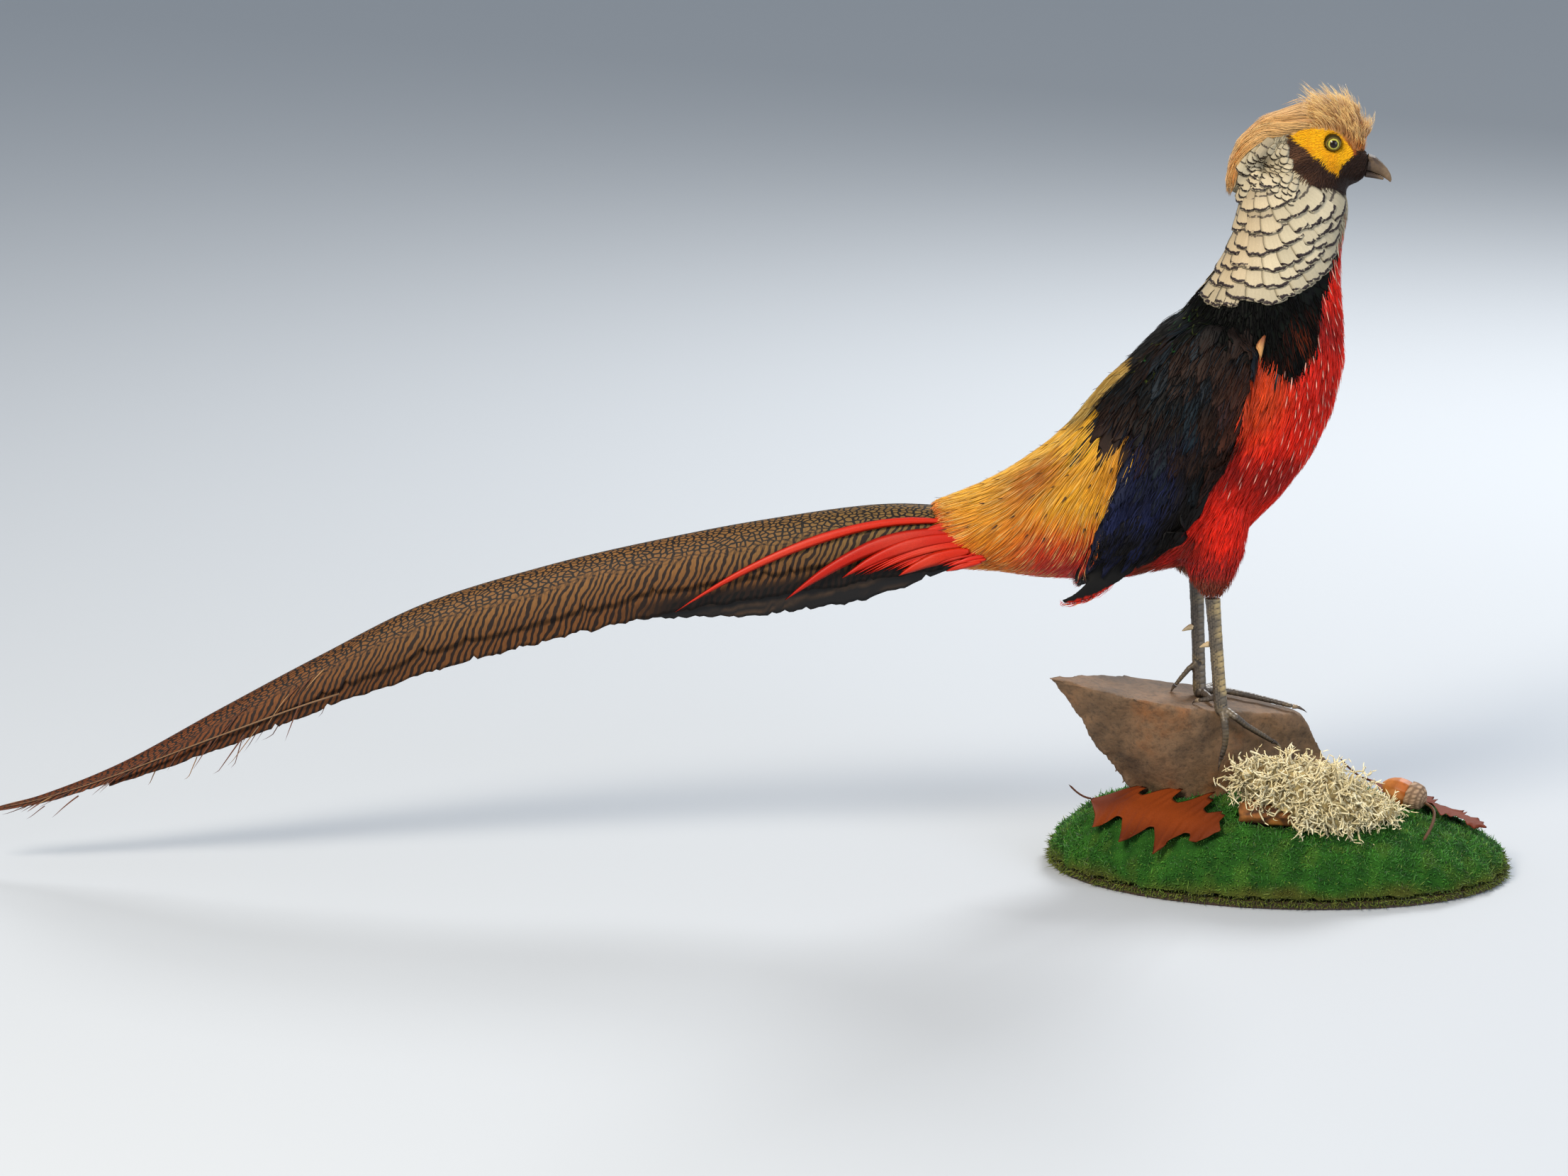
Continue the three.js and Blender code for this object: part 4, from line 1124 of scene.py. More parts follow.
class PHEASANT_OT_bill(bpy.types.Operator):
    """Makes the upper and lower bill, with nostrils and a gape"""
    bl_idname = "pheasant.bill"
    bl_label = "Bill"

    def execute(self, context):
        horn = painted_finish("polished bill horn", 0.55, 0.22, 420.0, 0.00025)
        for half in ("upper", "lower"):
            bill = remeshed([f"bill_{half}"], f"bill_horn_{half}", 0.00042, 5)
            places = points_of(bill.data)
            normals = normals_of(bill.data)
            x, y, z = (places / MM).T
            if half == "upper":
                slit = np.hypot((x - 47.5) / 3.0, (z - 488.2 + 0.18 * (x - 47.5)) / 0.95)
                flap = np.hypot((x - 46.8) / 3.6, (z - 489.9 + 0.18 * (x - 46.8)) / 1.2)
                side = smooth(2.2, 3.4, np.abs(y))
                push = -0.9 * smooth(1.1, 0.4, slit) * side + 0.45 * smooth(1.2, 0.3, flap) * side
                places = places + normals * (push * MM)[:, None]
                move_points(bill, places)
            tip = smooth(50, 61, x)
            ridge = smooth(2.6, 0.4, np.abs(y)) * smooth(480, 488, z)
            colour = mixed(shade("3C3028"), shade("80684C"), tip * 0.7)
            colour = layered(colour, ("2E2622", 0.7 * ridge * (half == "upper")),
                             ("6A5640", 0.5 * smooth(0.2, 0.8, ripple(places, 0.006, 8))))
            finish_piece(bill, horn, "bill_horn", f"bill_{half}", colour=colour)
        return {"FINISHED"}


# ---------------------------------------------------------------- plumage of the head
class PHEASANT_OT_face(bpy.types.Operator):
    """Lays the short feathers of the face, the ear coverts and the chin"""
    bl_idname = "pheasant.face"
    bl_label = "Face feathers"

    def execute(self, context):
        plumage = context.scene.pheasant_plumage
        skin = skin_surface()

        def golden(places):
            return inside(FACE_EDGE, places) & (eye_gap(places) > 4.7)

        def dark(places):
            low = places[:, 2] / MM > 462
            return inside(CHEEK_EDGE, places) & low & (places[:, 0] / MM < 46)

        coat = Coat()
        face = np.array(plumage.face)

        def gold_ground(places):
            depth = np.clip(0.35 + 0.5 * ripple(places, 0.008, 4), 0, 1)
            rim = smooth(7.0, 5.0, eye_gap(places))
            colour = mixed(face, shade("E58A06"), depth * 0.6)
            return mixed(colour, shade("7C6A12"), rim * 0.7) * np.array([1.08, 1.25, 1.0])

        look = hair_look((2.6, 4.0), 0.5, rows=2, stray=0.22, rise=(0.25, 0.6), bed=0.05)
        cover(coat, skin, 0.72 * MM, golden, (21, 22), look, painted(gold_ground, 0.88, 1.08, 0.07))
        cheek = np.array(plumage.cheek)

        def dark_ground(places):
            x = places[:, 0] / MM
            ear = smooth(16, -2, x)
            low = smooth(478, 470, places[:, 2] / MM)
            colour = mixed(cheek, shade("6E4A32"), ear * np.clip(0.55 + 0.5 * ripple(places, 0.009, 6), 0, 1))
            return mixed(colour, shade("22140D"), np.maximum(smooth(14, 30, x), low) * 0.8)

        look = hair_look((3.0, 5.0), 0.55, rows=2, stray=0.22, rise=(0.4, 1.1), bed=0.15)
        cover(coat, skin, 0.8 * MM, dark, (23, 24), look, painted(dark_ground, 0.75, 1.15, 0.14))
        self.ruff(coat, skin, plumage)
        finish_piece(coat.piece("face_plumage"), plumage_plush(), "face_feathers")
        return {"FINISHED"}

    def ruff(self, coat, skin, plumage):
        """Short cream feathers between the ear coverts and the cape."""
        def behind(places):
            x, z = side_view(places)
            near = ((x > -26) & (z > 452) & (x < 20)) | (cape_polar(places)[0] < 20)
            return ~on_head(places) & near & ((z < 499 - 0.4 * (x + 10)) | (x < -9))

        def cream(places):
            return np.tile(np.array(plumage.cape), (len(places), 1))

        look = hair_look((4, 6.5), 1.5, rows=2, stray=0.08, rise=(0.2, 0.6), bed=0.05)
        paint = painted(cream, 0.85, 1.05, 0.06)
        cover(coat, skin, 1.25 * MM, behind, (25, 26), look, paint, steady(-0.5, -0.86))


def plumage_plush():
    """Short plush feathers of the face: soft and nearly matt."""
    return feather_finish("short face plush", 0.7, 0.2, 0.05, 0.3)


def plumage_silk():
    """Silky hairlike crest: long smooth barbs with a straw gloss."""
    return feather_finish("crest silk", 0.42, 0.4, 0.1, 0.45)


class PHEASANT_OT_crest(bpy.types.Operator):
    """Lays the silky mane over the crown and nape, and the spiky tuft on the forehead"""
    bl_idname = "pheasant.crest"
    bl_label = "Crest"

    def execute(self, context):
        plumage = context.scene.pheasant_plumage
        skin = skin_surface()
        crest = np.array(plumage.crest)

        def mane(places):
            return inside(CREST_EDGE, places) & (places[:, 0] / MM < 26)

        def ground(places):
            x, z = side_view(places)
            colour = mixed(crest, shade("BE742C"), np.clip(0.4 + 0.7 * ripple(places, 0.012, 14), 0, 1))
            side = smooth(6, 14, np.abs(places[:, 1]) / MM)
            return layered(colour, ("E0B878", 0.6 * side * smooth(-30, 0, x)),
                           ("D9BC90", 0.6 * smooth(10, 4, np.abs(places[:, 1]) / MM) * smooth(496, 506, z)),
                           ("B06A32", 0.5 * smooth(494, 470, z)))

        coat = Coat()
        roots, normals = skin.scatter(0.92 * MM, mane, 31)
        clear = ~inside(FACE_EDGE, roots + np.array([-9, 0, -2]) * MM)
        roots, normals = roots[clear], normals[clear]
        to_end = np.hypot(roots[:, 0] / MM + 47, roots[:, 2] / MM - 467)
        roots, normals, to_end = roots[to_end > 13], normals[to_end > 13], to_end[to_end > 13]
        look = hair_look((24, 40), 0.55, rows=6, stray=0.06, rise=(0.7, 2.2), bed=0.2, bow=0.7, turn=0.45,
                         pull=0.35)
        paint = painted(ground, 0.74, 1.12, 0.1, shade("E6C68C"), 0.25)
        hair(coat, skin, roots, normals, look, paint, 32, sizes=np.minimum(1, (to_end + 1) / 38))
        self.tuft(coat, skin, ground)
        finish_piece(coat.piece("crest_plumage"), plumage_silk(), "crest_feathers")
        return {"FINISHED"}

    def tuft(self, coat, skin, ground):
        """Strands that stand up from the forehead and bend back, in loose points."""
        def forehead(places):
            return inside(CREST_EDGE, places) & (places[:, 0] / MM > 8)

        roots, normals = skin.scatter(0.82 * MM, forehead, 33)
        rng = np.random.default_rng(34)
        count = len(roots)
        x = roots[:, 0] / MM
        steps = 6
        share = np.linspace(0, 1, steps)
        front = smooth(6, 40, x)
        clump = np.round(roots / 0.0042) * 0.0042
        sway = np.stack([ripple(clump, 0.005, 35), ripple(clump, 0.005, 36), ripple(clump, 0.005, 37)], 1)
        lean = np.stack([-0.7 + 0.85 * front, np.zeros(count), np.ones(count)], 1)
        start = unit(normals * 0.5 + lean + 0.2 * sway + rng.normal(0, 0.06, (count, 3)))
        bend = np.stack([-1.05 + 0.25 * front, roots[:, 1] / MM * 0.02, -0.25 + 0.1 * front], 1) + 0.2 * sway
        tall = 5.5 + 6 * smooth(8, 22, x) - 1.5 * smooth(34, 46, x) + 3 * ripple(clump, 0.006, 38)
        wisps = 7 * (rng.random(count) < 0.12)
        lengths = np.maximum(tall + wisps + rng.uniform(-2.5, 1.5, count), 4) * MM
        path = arcs(roots, lengths, start, bend, share)
        ways, ups = free_ways(path, normals[:, None] + rng.normal(0, 0.4, (count, 1, 3)))
        widths = rng.uniform(0.35, 0.65, count) * MM
        colours = painted(ground, 0.78, 1.15, 0.1, shade("F2CE84"), 0.8)(roots, share, rng)
        # Painted shade in the middle of the tuft: the front strands darker towards their roots.
        dark = smooth(0.5, 0.0, share)[None] * smooth(10, 34, x)[:, None]
        colours = mixed(colours, shade("A4561F"), 0.6 * dark)
        free_blades(coat, path, ups, ways, widths, 0.16 * MM, 0.8, per_row(colours, steps - 1), patches)


# ---------------------------------------------------------------- cape and mantle
def arc_rows(skin, rows, spacing, angles, shift):
    """Feather roots in arcs round the cape's heart: rows holds functions from angle to distance, in mm."""
    roots = []
    for number, far_at in enumerate(rows):
        for side in SIDES.values():
            last = None
            since = spacing * (0.5 if number % 2 else 0.12) + shift
            for angle in np.arange(*angles):
                far = far_at(angle)
                if far < 2.5:
                    last = None
                    continue
                x = CAPE_HEART[0] + far * np.cos(np.radians(angle))
                z = CAPE_HEART[1] + far * np.sin(np.radians(angle))
                place = skin.from_side(x * MM, z * MM, side)
                if place is None:
                    last = None
                    continue
                if last is not None:
                    since += np.linalg.norm(place - last) / MM
                last = place
                if since >= spacing:
                    roots.append(place)
                    since -= spacing
    return np.array(roots)


def cape_lie(places, normals):
    """Cape feathers point away from the cape's heart."""
    x = places[..., 0] / MM - CAPE_HEART[0]
    z = places[..., 2] / MM - CAPE_HEART[1]
    far = np.stack([x, np.zeros_like(x), z], -1)
    near = smooth(34, 12, np.hypot(x, z))[..., None]
    return along_skin(unit(far) * (1 - near) + np.array([-0.5, 0, -0.85]) * near + [0, 0, -0.12], normals)


class PHEASANT_OT_cape(bpy.types.Operator):
    """Lays the barred cape in arcs round the neck"""
    bl_idname = "pheasant.cape"
    bl_label = "Cape"
    rows = 10

    def execute(self, context):
        plumage = context.scene.pheasant_plumage
        skin = skin_surface()
        length = plumage.cape_length / MM

        def row(number):
            """Counted inwards from the rim, about 9.5 mm apart at the throat and 11.5 mm at the nape."""
            return lambda angle: (cape_rim(angle) - 0.95 * length
                                  - number * (9.4 + 2.0 * smooth(-60, -115, angle)))

        roots = arc_rows(skin, [row(n) for n in range(self.rows)][::-1], 8.2, (-230, 60, 0.5), 0.0)
        roots = roots[self.clear(skin, roots, length) & (cape_polar(roots)[0] > 13)]
        _, normals = skin.touch(roots)
        far, angle = cape_polar(roots)
        share = (far + 0.8 * length) / cape_rim(angle)
        look = vane_look(length, plumage.cape_width / MM, rows=12, columns=9, bed=0.5, rise=1.5, curl=0.25,
                         roll=0.3, camber=0.3, wave=0.06, corner=0.07, ragged=0.02, stray=0.07,
                         form=((0, 0.35), (0.3, 0.8), (0.65, 1.0), (0.9, 1.0), (1, 0.9)))

        def tint(places, vane, rng):
            ground = np.array(plumage.cape) * (1 + rng.normal(0, 0.05, (len(places), 1)))
            warm = np.clip(0.3 + 0.5 * ripple(places, 0.03, 41), 0, 1)
            ground = mixed(ground, shade("AE8A5C"), warm * 0.45)
            outer = smooth(0.84, 0.97, share)[:, None] * smooth(0.25, 0.8, vane[:, 1])[None]
            # Painted shade: each vane darker towards its root, where the row over it shades it.
            colour = ground[:, None] * (0.74 + 0.30 * smooth(0.2, 0.8, vane[:, 1]))[None, :, None]
            return np.clip(mixed(colour, shade("8C826A"), 0.4 * outer), 0, 1)

        coat = Coat()
        sizes = 0.62 + 0.43 * smooth(0.18, 0.5, far / cape_rim(angle))
        vanes(coat, skin, roots, normals, look, tint, 42, lie=cape_lie, sizes=sizes)
        self.nape(coat, skin, plumage)
        finish_piece(coat.piece("cape_plumage"), barred_cape_finish(), "cape_feathers")
        return {"FINISHED"}

    def clear(self, skin, roots, length):
        """Which feathers keep off the face, the ear coverts and the crest."""
        _, normals = skin.touch(roots)
        headings = cape_lie(roots, normals)
        x, z = side_view(roots)
        found = ~on_head(roots) & ~((x > -10) & (z > 482)) & ~((x < -36) & (z > 460))
        for share in (0.3, 0.6, 0.85, 1.0):
            found &= ~on_head(roots + headings * share * length * MM)
        return found

    def nape(self, coat, skin, plumage):
        """Short feathers on the side of the upper neck, under the mane and behind the ear coverts."""
        def upper(places):
            far, _ = cape_polar(places)
            x, z = side_view(places)
            return (far < 17) & in_cape(places, 0) & ~on_head(places) & (x < -3) & ((x > -36) | (z < 454))

        def by_ear(places):
            ahead = places + np.array([15, 0, 4]) * MM
            x, z = side_view(places)
            return in_cape(places, 0) & ~on_head(places) & on_head(ahead) & (x > -30) & (x < -1) & (z < 503)

        def cream(places, vane, rng):
            ground = np.array(plumage.cape) * (1 + rng.normal(0, 0.05, (len(places), 1)))
            # Painted shade: each vane darker towards its root, where the feathers over it shade it.
            return np.clip(ground[:, None] * (0.8 + 0.24 * vane[None, :, 1:2]), 0, 1)

        small = {"curl": 0.2, "roll": 0.2, "camber": 0.3, "corner": 0.12, "ragged": 0.02, "stray": 0.12,
                 "form": ((0, 0.4), (0.35, 0.85), (0.7, 1.0), (1, 0.85))}
        on_neck = vane_look(12.5, 9.5, rows=6, bed=0.5, rise=1.3, **small)
        at_ear = vane_look(9.5, 7.0, rows=5, columns=5, bed=0.7, rise=1.2, **small)
        for spacing, chosen, look, seed in ((4.8, upper, on_neck, 43), (3.6, by_ear, at_ear, 45)):
            roots, _ = skin.scatter(spacing * MM, chosen, seed)
            roots = roots[np.argsort(-roots[:, 2])]
            _, normals = skin.touch(roots)
            vanes(coat, skin, roots, normals, look, cream, seed + 1, lie=steady(-0.34, -0.94),
                  own_cells=False)


class PHEASANT_OT_mantle(bpy.types.Operator):
    """Lays the green-black scale feathers of the mantle and the black ones of the shoulder"""
    bl_idname = "pheasant.mantle"
    bl_label = "Mantle and shoulder"

    def execute(self, context):
        skin = skin_surface()

        def row(number):
            return lambda angle: cape_rim(angle) - 22 + 8.5 * number

        roots = arc_rows(skin, [row(n) for n in range(8)], 7.6, (-178, -8, 0.5), 0.0)
        x, z = side_view(roots)
        keep = inside(SHOULDER_EDGE + [(-126, 350), (-126, 400)], roots) | ((x < -70) & (z > 338))
        roots = roots[keep & (x > -128)]
        _, normals = skin.touch(roots)
        look = vane_look(18, 12.5, rows=8, columns=7, bed=0.3, rise=0.9, curl=0.1, roll=0.15, camber=0.15,
                         corner=0.34, stray=0.1, ragged=0.03, thick=0.12,
                         form=((0, 0.4), (0.35, 0.9), (0.7, 1.0), (0.9, 0.85), (1, 0.45)))

        def tint(places, vane, rng):
            """The colour of the rim: olive-green on the back, nearly black on the shoulder."""
            back = smooth(-48, -72, places[:, 0] / MM)
            rim = mixed(shade("0C0C0A"), shade("566228"), back)
            green = rng.random(len(places)) < 0.25
            rim = np.where((green & (back > 0.5))[:, None], shade("2C5A2C"), rim)
            return np.repeat(rim[:, None], len(vane), axis=1)

        coat = Coat()
        vanes(coat, skin, roots, normals, look, tint, 52, lie=cape_lie)
        finish_piece(coat.piece("mantle_plumage"), scaled_mantle_finish(), "wing_feathers")
        self.barbs(skin)
        return {"FINISHED"}

    def barbs(self, skin):
        """Loose black barbs over the shoulder, rusty along its lower front edge."""
        def shoulder(places):
            return inside(SHOULDER_EDGE, places) & (places[:, 2] < 404 * MM) & (places[:, 0] > -66 * MM)

        def ground(places):
            x, z = side_view(places)
            rust = smooth(402, 376, z) * smooth(-16, 4, x) + 0.6 * smooth(372, 360, z)
            return mixed(shade("0A0908"), shade("6A2A14"),
                         0.8 * rust * smooth(-0.3, 0.6, ripple(places, 0.008, 55)))

        look = hair_look((8, 16), 0.7, stray=0.24, rise=(0.6, 1.9), bed=0.9, turn=0.6)
        coat = Coat()
        cover(coat, skin, 2.2 * MM, shoulder, (53, 54), look, painted(ground, 0.7, 1.2, 0.2), cape_lie)
        finish_piece(coat.piece("shoulder_barbs"), feather_finish("loose shoulder barb", 0.7, 0.08, 0.0, 0.5),
                     "wing_feathers")


# ---------------------------------------------------------------- plumage of the body
def on_trunk(places):
    """Not on the head or the cape."""
    return ~(in_cape(places, -6) | on_head(places))


def on_wing(places):
    return inside(WING_EDGE, places) & (np.abs(places[:, 1]) / MM > 14)


def on_rump(places):
    x, z = side_view(places)
    behind = (x < -98) & on_trunk(places) & (z < 372)
    return behind & ~((x > -118) & (z < 226) & ~on_wing(places)) & ~on_wing(places)


def on_thigh(places):
    return inside(THIGH_EDGE, places) & (places[:, 2] / MM < 236)


def on_breast(places):
    x, z = side_view(places)
    front = (x > -122) & ~on_rump(places) & on_trunk(places) & ~on_wing(places)
    front &= ~((x < -92) & (z < 232) & (np.abs(places[:, 1]) / MM > 32))
    return front & ~inside(SHOULDER_EDGE, places) & ~on_thigh(places)


class PHEASANT_OT_breast(bpy.types.Operator):
    """Lays the scarlet feathers of the breast, flanks and belly, in a broad layer and a fine one"""
    bl_idname = "pheasant.breast"
    bl_label = "Breast and belly"

    def execute(self, context):
        plumage = context.scene.pheasant_plumage
        skin = skin_surface()

        def ground(places):
            return markings(places, plumage)

        broad = Coat()
        roots, normals = skin.scatter(5.2 * MM, on_breast, 61)
        look = vane_look(21, 8.5, rows=5, columns=5, stray=0.1, bed=0.2, rise=1.5, curl=0.25, roll=0.3,
                         camber=0.4, corner=0.45, ragged=0.03,
                         form=((0, 0.4), (0.4, 1.0), (0.75, 0.8), (1, 0.25)))

        def tint(places, vane, rng):
            colour = ground(places) * (1 + rng.normal(0, 0.12, (len(places), 1)))
            # Painted shade: each vane darker towards its root, where the feathers over it shade it.
            return np.clip(colour[:, None] * (0.6 + 0.5 * smooth(0.1, 0.9, vane[:, 1]))[None, :, None], 0, 1)

        vanes(broad, skin, roots, normals, look, tint, 62, own_cells=False)
        piece = broad.piece("breast_vanes")
        finish = feather_finish("glossy scarlet vane", 0.45, 0.28, 0.02, 0.6)
        finish_piece(piece, finish, "scarlet_feathers")

        def shorter_behind(roots):
            x, z = side_view(roots)
            return 1 - 0.7 * smooth(-84, -108, x) * smooth(250, 236, z)

        fine = Coat()
        look = hair_look((12, 23), 0.62, rise=(1.1, 2.9), bed=0.5)
        paint = painted(ground, 0.8, 1.2, 0.16)
        cover(fine, skin, 1.62 * MM, on_breast, (63, 64), look, paint, sizes=shorter_behind)

        # Where the painted glints lie: along the front edge of the breast.
        def glint_side(places):
            x, z = side_view(places)
            line = np.interp(z, [220, 290, 340, 420], [-50, -8, 14, 22])
            near = x > line - 12 - 34 * smooth(0.1, 0.8, ripple(places, 0.02, 67))
            return on_breast(places) & near & (z < 424) & (z > 276)

        finish_piece(fine.piece("breast_hair"), finish, "scarlet_feathers")
        # Painted glints: pale strands over the front of the breast.
        painted_glints = Coat()
        look = hair_look((5, 11), 1.1, stray=0.08, rise=(2.4, 3.0), bed=1.0)
        pale = painted(plain("E8A490"), 0.6, 1.0, 0.25)
        cover(painted_glints, skin, 7.2 * MM, glint_side, (65, 66), look, pale)
        self.streaks(painted_glints, skin)
        finish_piece(painted_glints.piece("breast_painted_glints"), finish, "scarlet_feathers")
        return {"FINISHED"}

    def streaks(self, coat, skin):
        """A few straw-coloured feathers that slip out between the shoulder and the wing's bend."""
        roots = skin.spots([(-23, 378), (-26, 375)])
        _, normals = skin.touch(roots)
        look = vane_look(16, 4.5, rows=8, columns=5, stray=0.1, bed=3.2, rise=0.8, corner=0.3)

        def straw(places, vane, rng):
            return np.tile(mixed(shade("7A3E18"), shade("BE8A50"), smooth(0.1, 0.7, vane[:, 1])),
                           (len(places), 1, 1))

        vanes(coat, skin, roots, normals, look, straw, 68)


class PHEASANT_OT_rump(bpy.types.Operator):
    """Lays the golden hairlike feathers of the lower back and rump"""
    bl_idname = "pheasant.rump"
    bl_label = "Rump"

    def execute(self, context):
        plumage = context.scene.pheasant_plumage
        skin = skin_surface()
        spacing = plumage.hair_spacing

        def ground(places):
            colour = markings(places, plumage)
            # Painted light: paler along the top of the rump.
            top = smooth(22, 8, np.abs(places[:, 1]) / MM) * smooth(240, 262, places[:, 2] / MM)
            return mixed(colour, shade("E8B850"), 0.5 * top)

        def shorter_low(roots):
            x, z = side_view(roots)
            low = rump_edge(x)
            return 1 - 0.62 * np.maximum(smooth(low + 18, low + 5, z), smooth(-206, -222, x))

        specks = painted(plain("3A2208"), 1.0, 1.0, 0.2)
        finish = feather_finish("golden hairlike rump", 0.42, 0.4, 0.05, 0.5)
        for name, side in SIDES.items():
            def chosen(places, side=side):
                return on_rump(places) & (places[:, 1] * side >= 0)

            def high_up(places, chosen=chosen):
                return chosen(places) & (places[:, 2] > 240 * MM)

            coat = Coat()
            look = hair_look((22, 38), 0.62, rows=4, stray=0.09, rise=(0.8, 2.9), bed=0.3)
            paint = painted(ground, 0.86, 1.12, 0.12, shade("F8DA86"), 0.22)
            cover(coat, skin, spacing, chosen, (71 + side, 73 + side), look, paint, sizes=shorter_low)
            look = hair_look((3, 6), 1.0, stray=0.05, rise=(2.8, 3.1), bed=1.6)
            cover(coat, skin, 13.0 * MM, high_up, (75 + side, 77 + side), look, specks)
            finish_piece(coat.piece(f"rump_plumage_{name}"), finish, "crest_feathers")
        return {"FINISHED"}


class PHEASANT_OT_thighs(bpy.types.Operator):
    """Lays the fluffy brown-red feathers of the thighs, down to the ankles"""
    bl_idname = "pheasant.thighs"
    bl_label = "Thighs"

    def execute(self, context):
        skin = skin_surface()

        def ground(places):
            z = places[:, 2] / MM
            colour = mixed(shade("B0180A"), shade("6E3418"), smooth(224, 206, z) * 0.85)
            return mixed(colour, shade("8C6748"),
                         np.clip(0.6 * ripple(places, 0.012, 81), 0, 1) * smooth(226, 206, z))

        def shorter_low(roots):
            return 0.3 + 0.7 * smooth(204, 226, roots[:, 2] / MM)

        coat = Coat()
        look = hair_look((9, 16), 0.7, stray=0.3, rise=(1.0, 3.6), bed=0.3)
        paint = painted(ground, 0.6, 1.2, 0.22)
        cover(coat, skin, 1.25 * MM, on_thigh, (82, 83), look, paint, sizes=shorter_low)
        finish_piece(coat.piece("thigh_plumage"), feather_finish("loose thigh down", 0.65, 0.25, 0.08, 0.3),
                     "scarlet_feathers")
        return {"FINISHED"}


# ---------------------------------------------------------------- wings
WING_LIE = steady(-0.36, -0.933)


class PHEASANT_OT_wings(bpy.types.Operator):
    """Lays the wing coverts, the navy tertials and the black tips of the folded wings"""
    bl_idname = "pheasant.wings"
    bl_label = "Wings"
    # Each row: how far down the wing it starts, in mm, its feathers' length and width, and their spacing.
    rows = [(6, 22, 13, 9), (16, 24, 13, 9), (27, 26, 14, 9.5), (39, 28, 15, 10), (52, 31, 16, 10.5),
            (66, 34, 17, 11), (81, 38, 18, 11.5), (98, 44, 19, 12), (114, 52, 20, 12.5)]
    tip_roots = [(-96, 258), (-104, 252), (-110, 246), (-116, 240), (-92, 246), (-86, 256)]

    def execute(self, context):
        skin = skin_surface()
        coat = Coat()
        for number, (down, length, width, spacing) in enumerate(self.rows):
            roots = self.row_roots(skin, down, spacing, number)
            _, normals = skin.touch(roots)
            look = vane_look(1.25 * length, width, rows=10, columns=9, stray=0.13, bed=1.2 - 0.1 * number,
                             rise=1.1, curl=0.05, roll=0.15, camber=0.12, wave=0.07, corner=0.42,
                             ragged=0.045, turn=0.7, thick=0.1,
                             form=((0, 0.4), (0.35, 0.9), (0.7, 1.0), (0.9, 0.85), (1, 0.4)))
            vanes(coat, skin, roots, normals, look, self.tint, 91 + number, lie=WING_LIE)
        self.barbs(coat, skin)
        self.tip(coat, skin)
        finish_piece(coat.piece("wing_plumage"),
                     feather_finish("dark glossed wing vane", 0.6, 0.13, 0.0, 1.3), "wing_feathers")
        return {"FINISHED"}

    def barbs(self, coat, skin):
        """Loose barbs that blur the edges of the coverts."""
        def low_enough(places):
            return on_wing(places) & (places[:, 2] / MM > 226) & (places[:, 2] / MM < 380)

        def ground(places):
            return self.web(places, np.random.default_rng(103)) * 1.15

        look = hair_look((7, 14), 0.6, stray=0.22, bed=1.9, turn=0.6)
        cover(coat, skin, 2.3 * MM, low_enough, (102, 104), look, painted(ground, 0.7, 1.2, 0.3), WING_LIE)

    def row_roots(self, skin, down, spacing, number):
        """Roots across the wing at one distance down it, on both sides."""
        front_x, front_z = np.array(WING_FRONT, float).T
        back_x, back_z = np.array(WING_BACK, float).T
        z = 388 - down
        forward = np.interp(z, front_z[::-1], front_x[::-1])
        rear = np.interp(z, back_z[::-1], back_x[::-1])
        offset = spacing * (0.5 if number % 2 else 0.0)
        return skin.spots([(x, z) for x in np.arange(forward - 4 - offset, rear + 3, -spacing)])

    def web(self, places, rng):
        """The colour between the edges: brown and a painted teal sheen on the upper coverts, navy on the
        tertials.
        """
        x, z = side_view(places)
        colour = mixed(shade("100E0D"), shade("2A1A12"),
                       smooth(0.1, 0.9, 0.5 + 0.8 * ripple(places, 0.02, 95)) * smooth(280, 330, z))
        # Painted sheen: teal on some of the upper coverts.
        colour = layered(colour, ("16242C", (rng.random(len(places)) < 0.3) * 0.8 * smooth(290, 320, z)),
                         ("4A2212", smooth(-56, -36, x) * smooth(250, 285, z) * smooth(366, 350, z) * 0.6))
        navy = smooth(322, 304, z) * smooth(238, 262, z) * smooth(-62, -86, x + (300 - z) * 0.34)
        navy = navy * np.clip(0.6 + 0.6 * ripple(places, 0.012, 96), 0.15, 1)
        return mixed(colour, shade("1F2548"), navy)

    def tint(self, places, vane, rng):
        """The web's colour with black edges, and painted shade towards each vane's root."""
        colour = self.web(places, rng)
        edge = np.clip(np.abs(vane[:, 0] - 0.5) * 2, 0, 1) ** 4 + smooth(0.85, 1.0, vane[:, 1])
        edge = np.clip(edge, 0, 1)[None, :, None]
        # Painted shade: darker towards the root, where the row over it shades it.
        full = colour[:, None] * (0.55 + 0.55 * smooth(0.3, 0.8, vane[:, 1]))[None, :, None]
        return np.clip(full * (1 - 0.35 * edge) + shade("050506") * 0.35 * edge, 0, 1)

    def tip(self, coat, skin):
        """The long black flight feathers that make the wing's point."""
        look = vane_look(33, 14, rows=12, columns=7, stray=0.02, bed=0.6, rise=1.4, curl=0.0, roll=0.4,
                         camber=0.5, wave=0.03, corner=0.3, ragged=0.008, turn=0.8, pull=0.9,
                         form=((0, 0.5), (0.3, 1.0), (0.7, 0.95), (0.92, 0.6), (1, 0.2)))

        def black(places, vane, rng):
            sheen = (0.7 + 0.5 * np.abs(vane[:, 0] - 0.4))[None, :, None]
            return np.repeat(shade("141318")[None, None] * sheen, len(places), axis=0)

        for side in SIDES.values():
            roots = skin.spots(self.tip_roots, [side])
            _, normals = skin.touch(roots)
            vanes(coat, skin, roots, normals, look, black, 101, lie=steady(-0.87, -0.5))


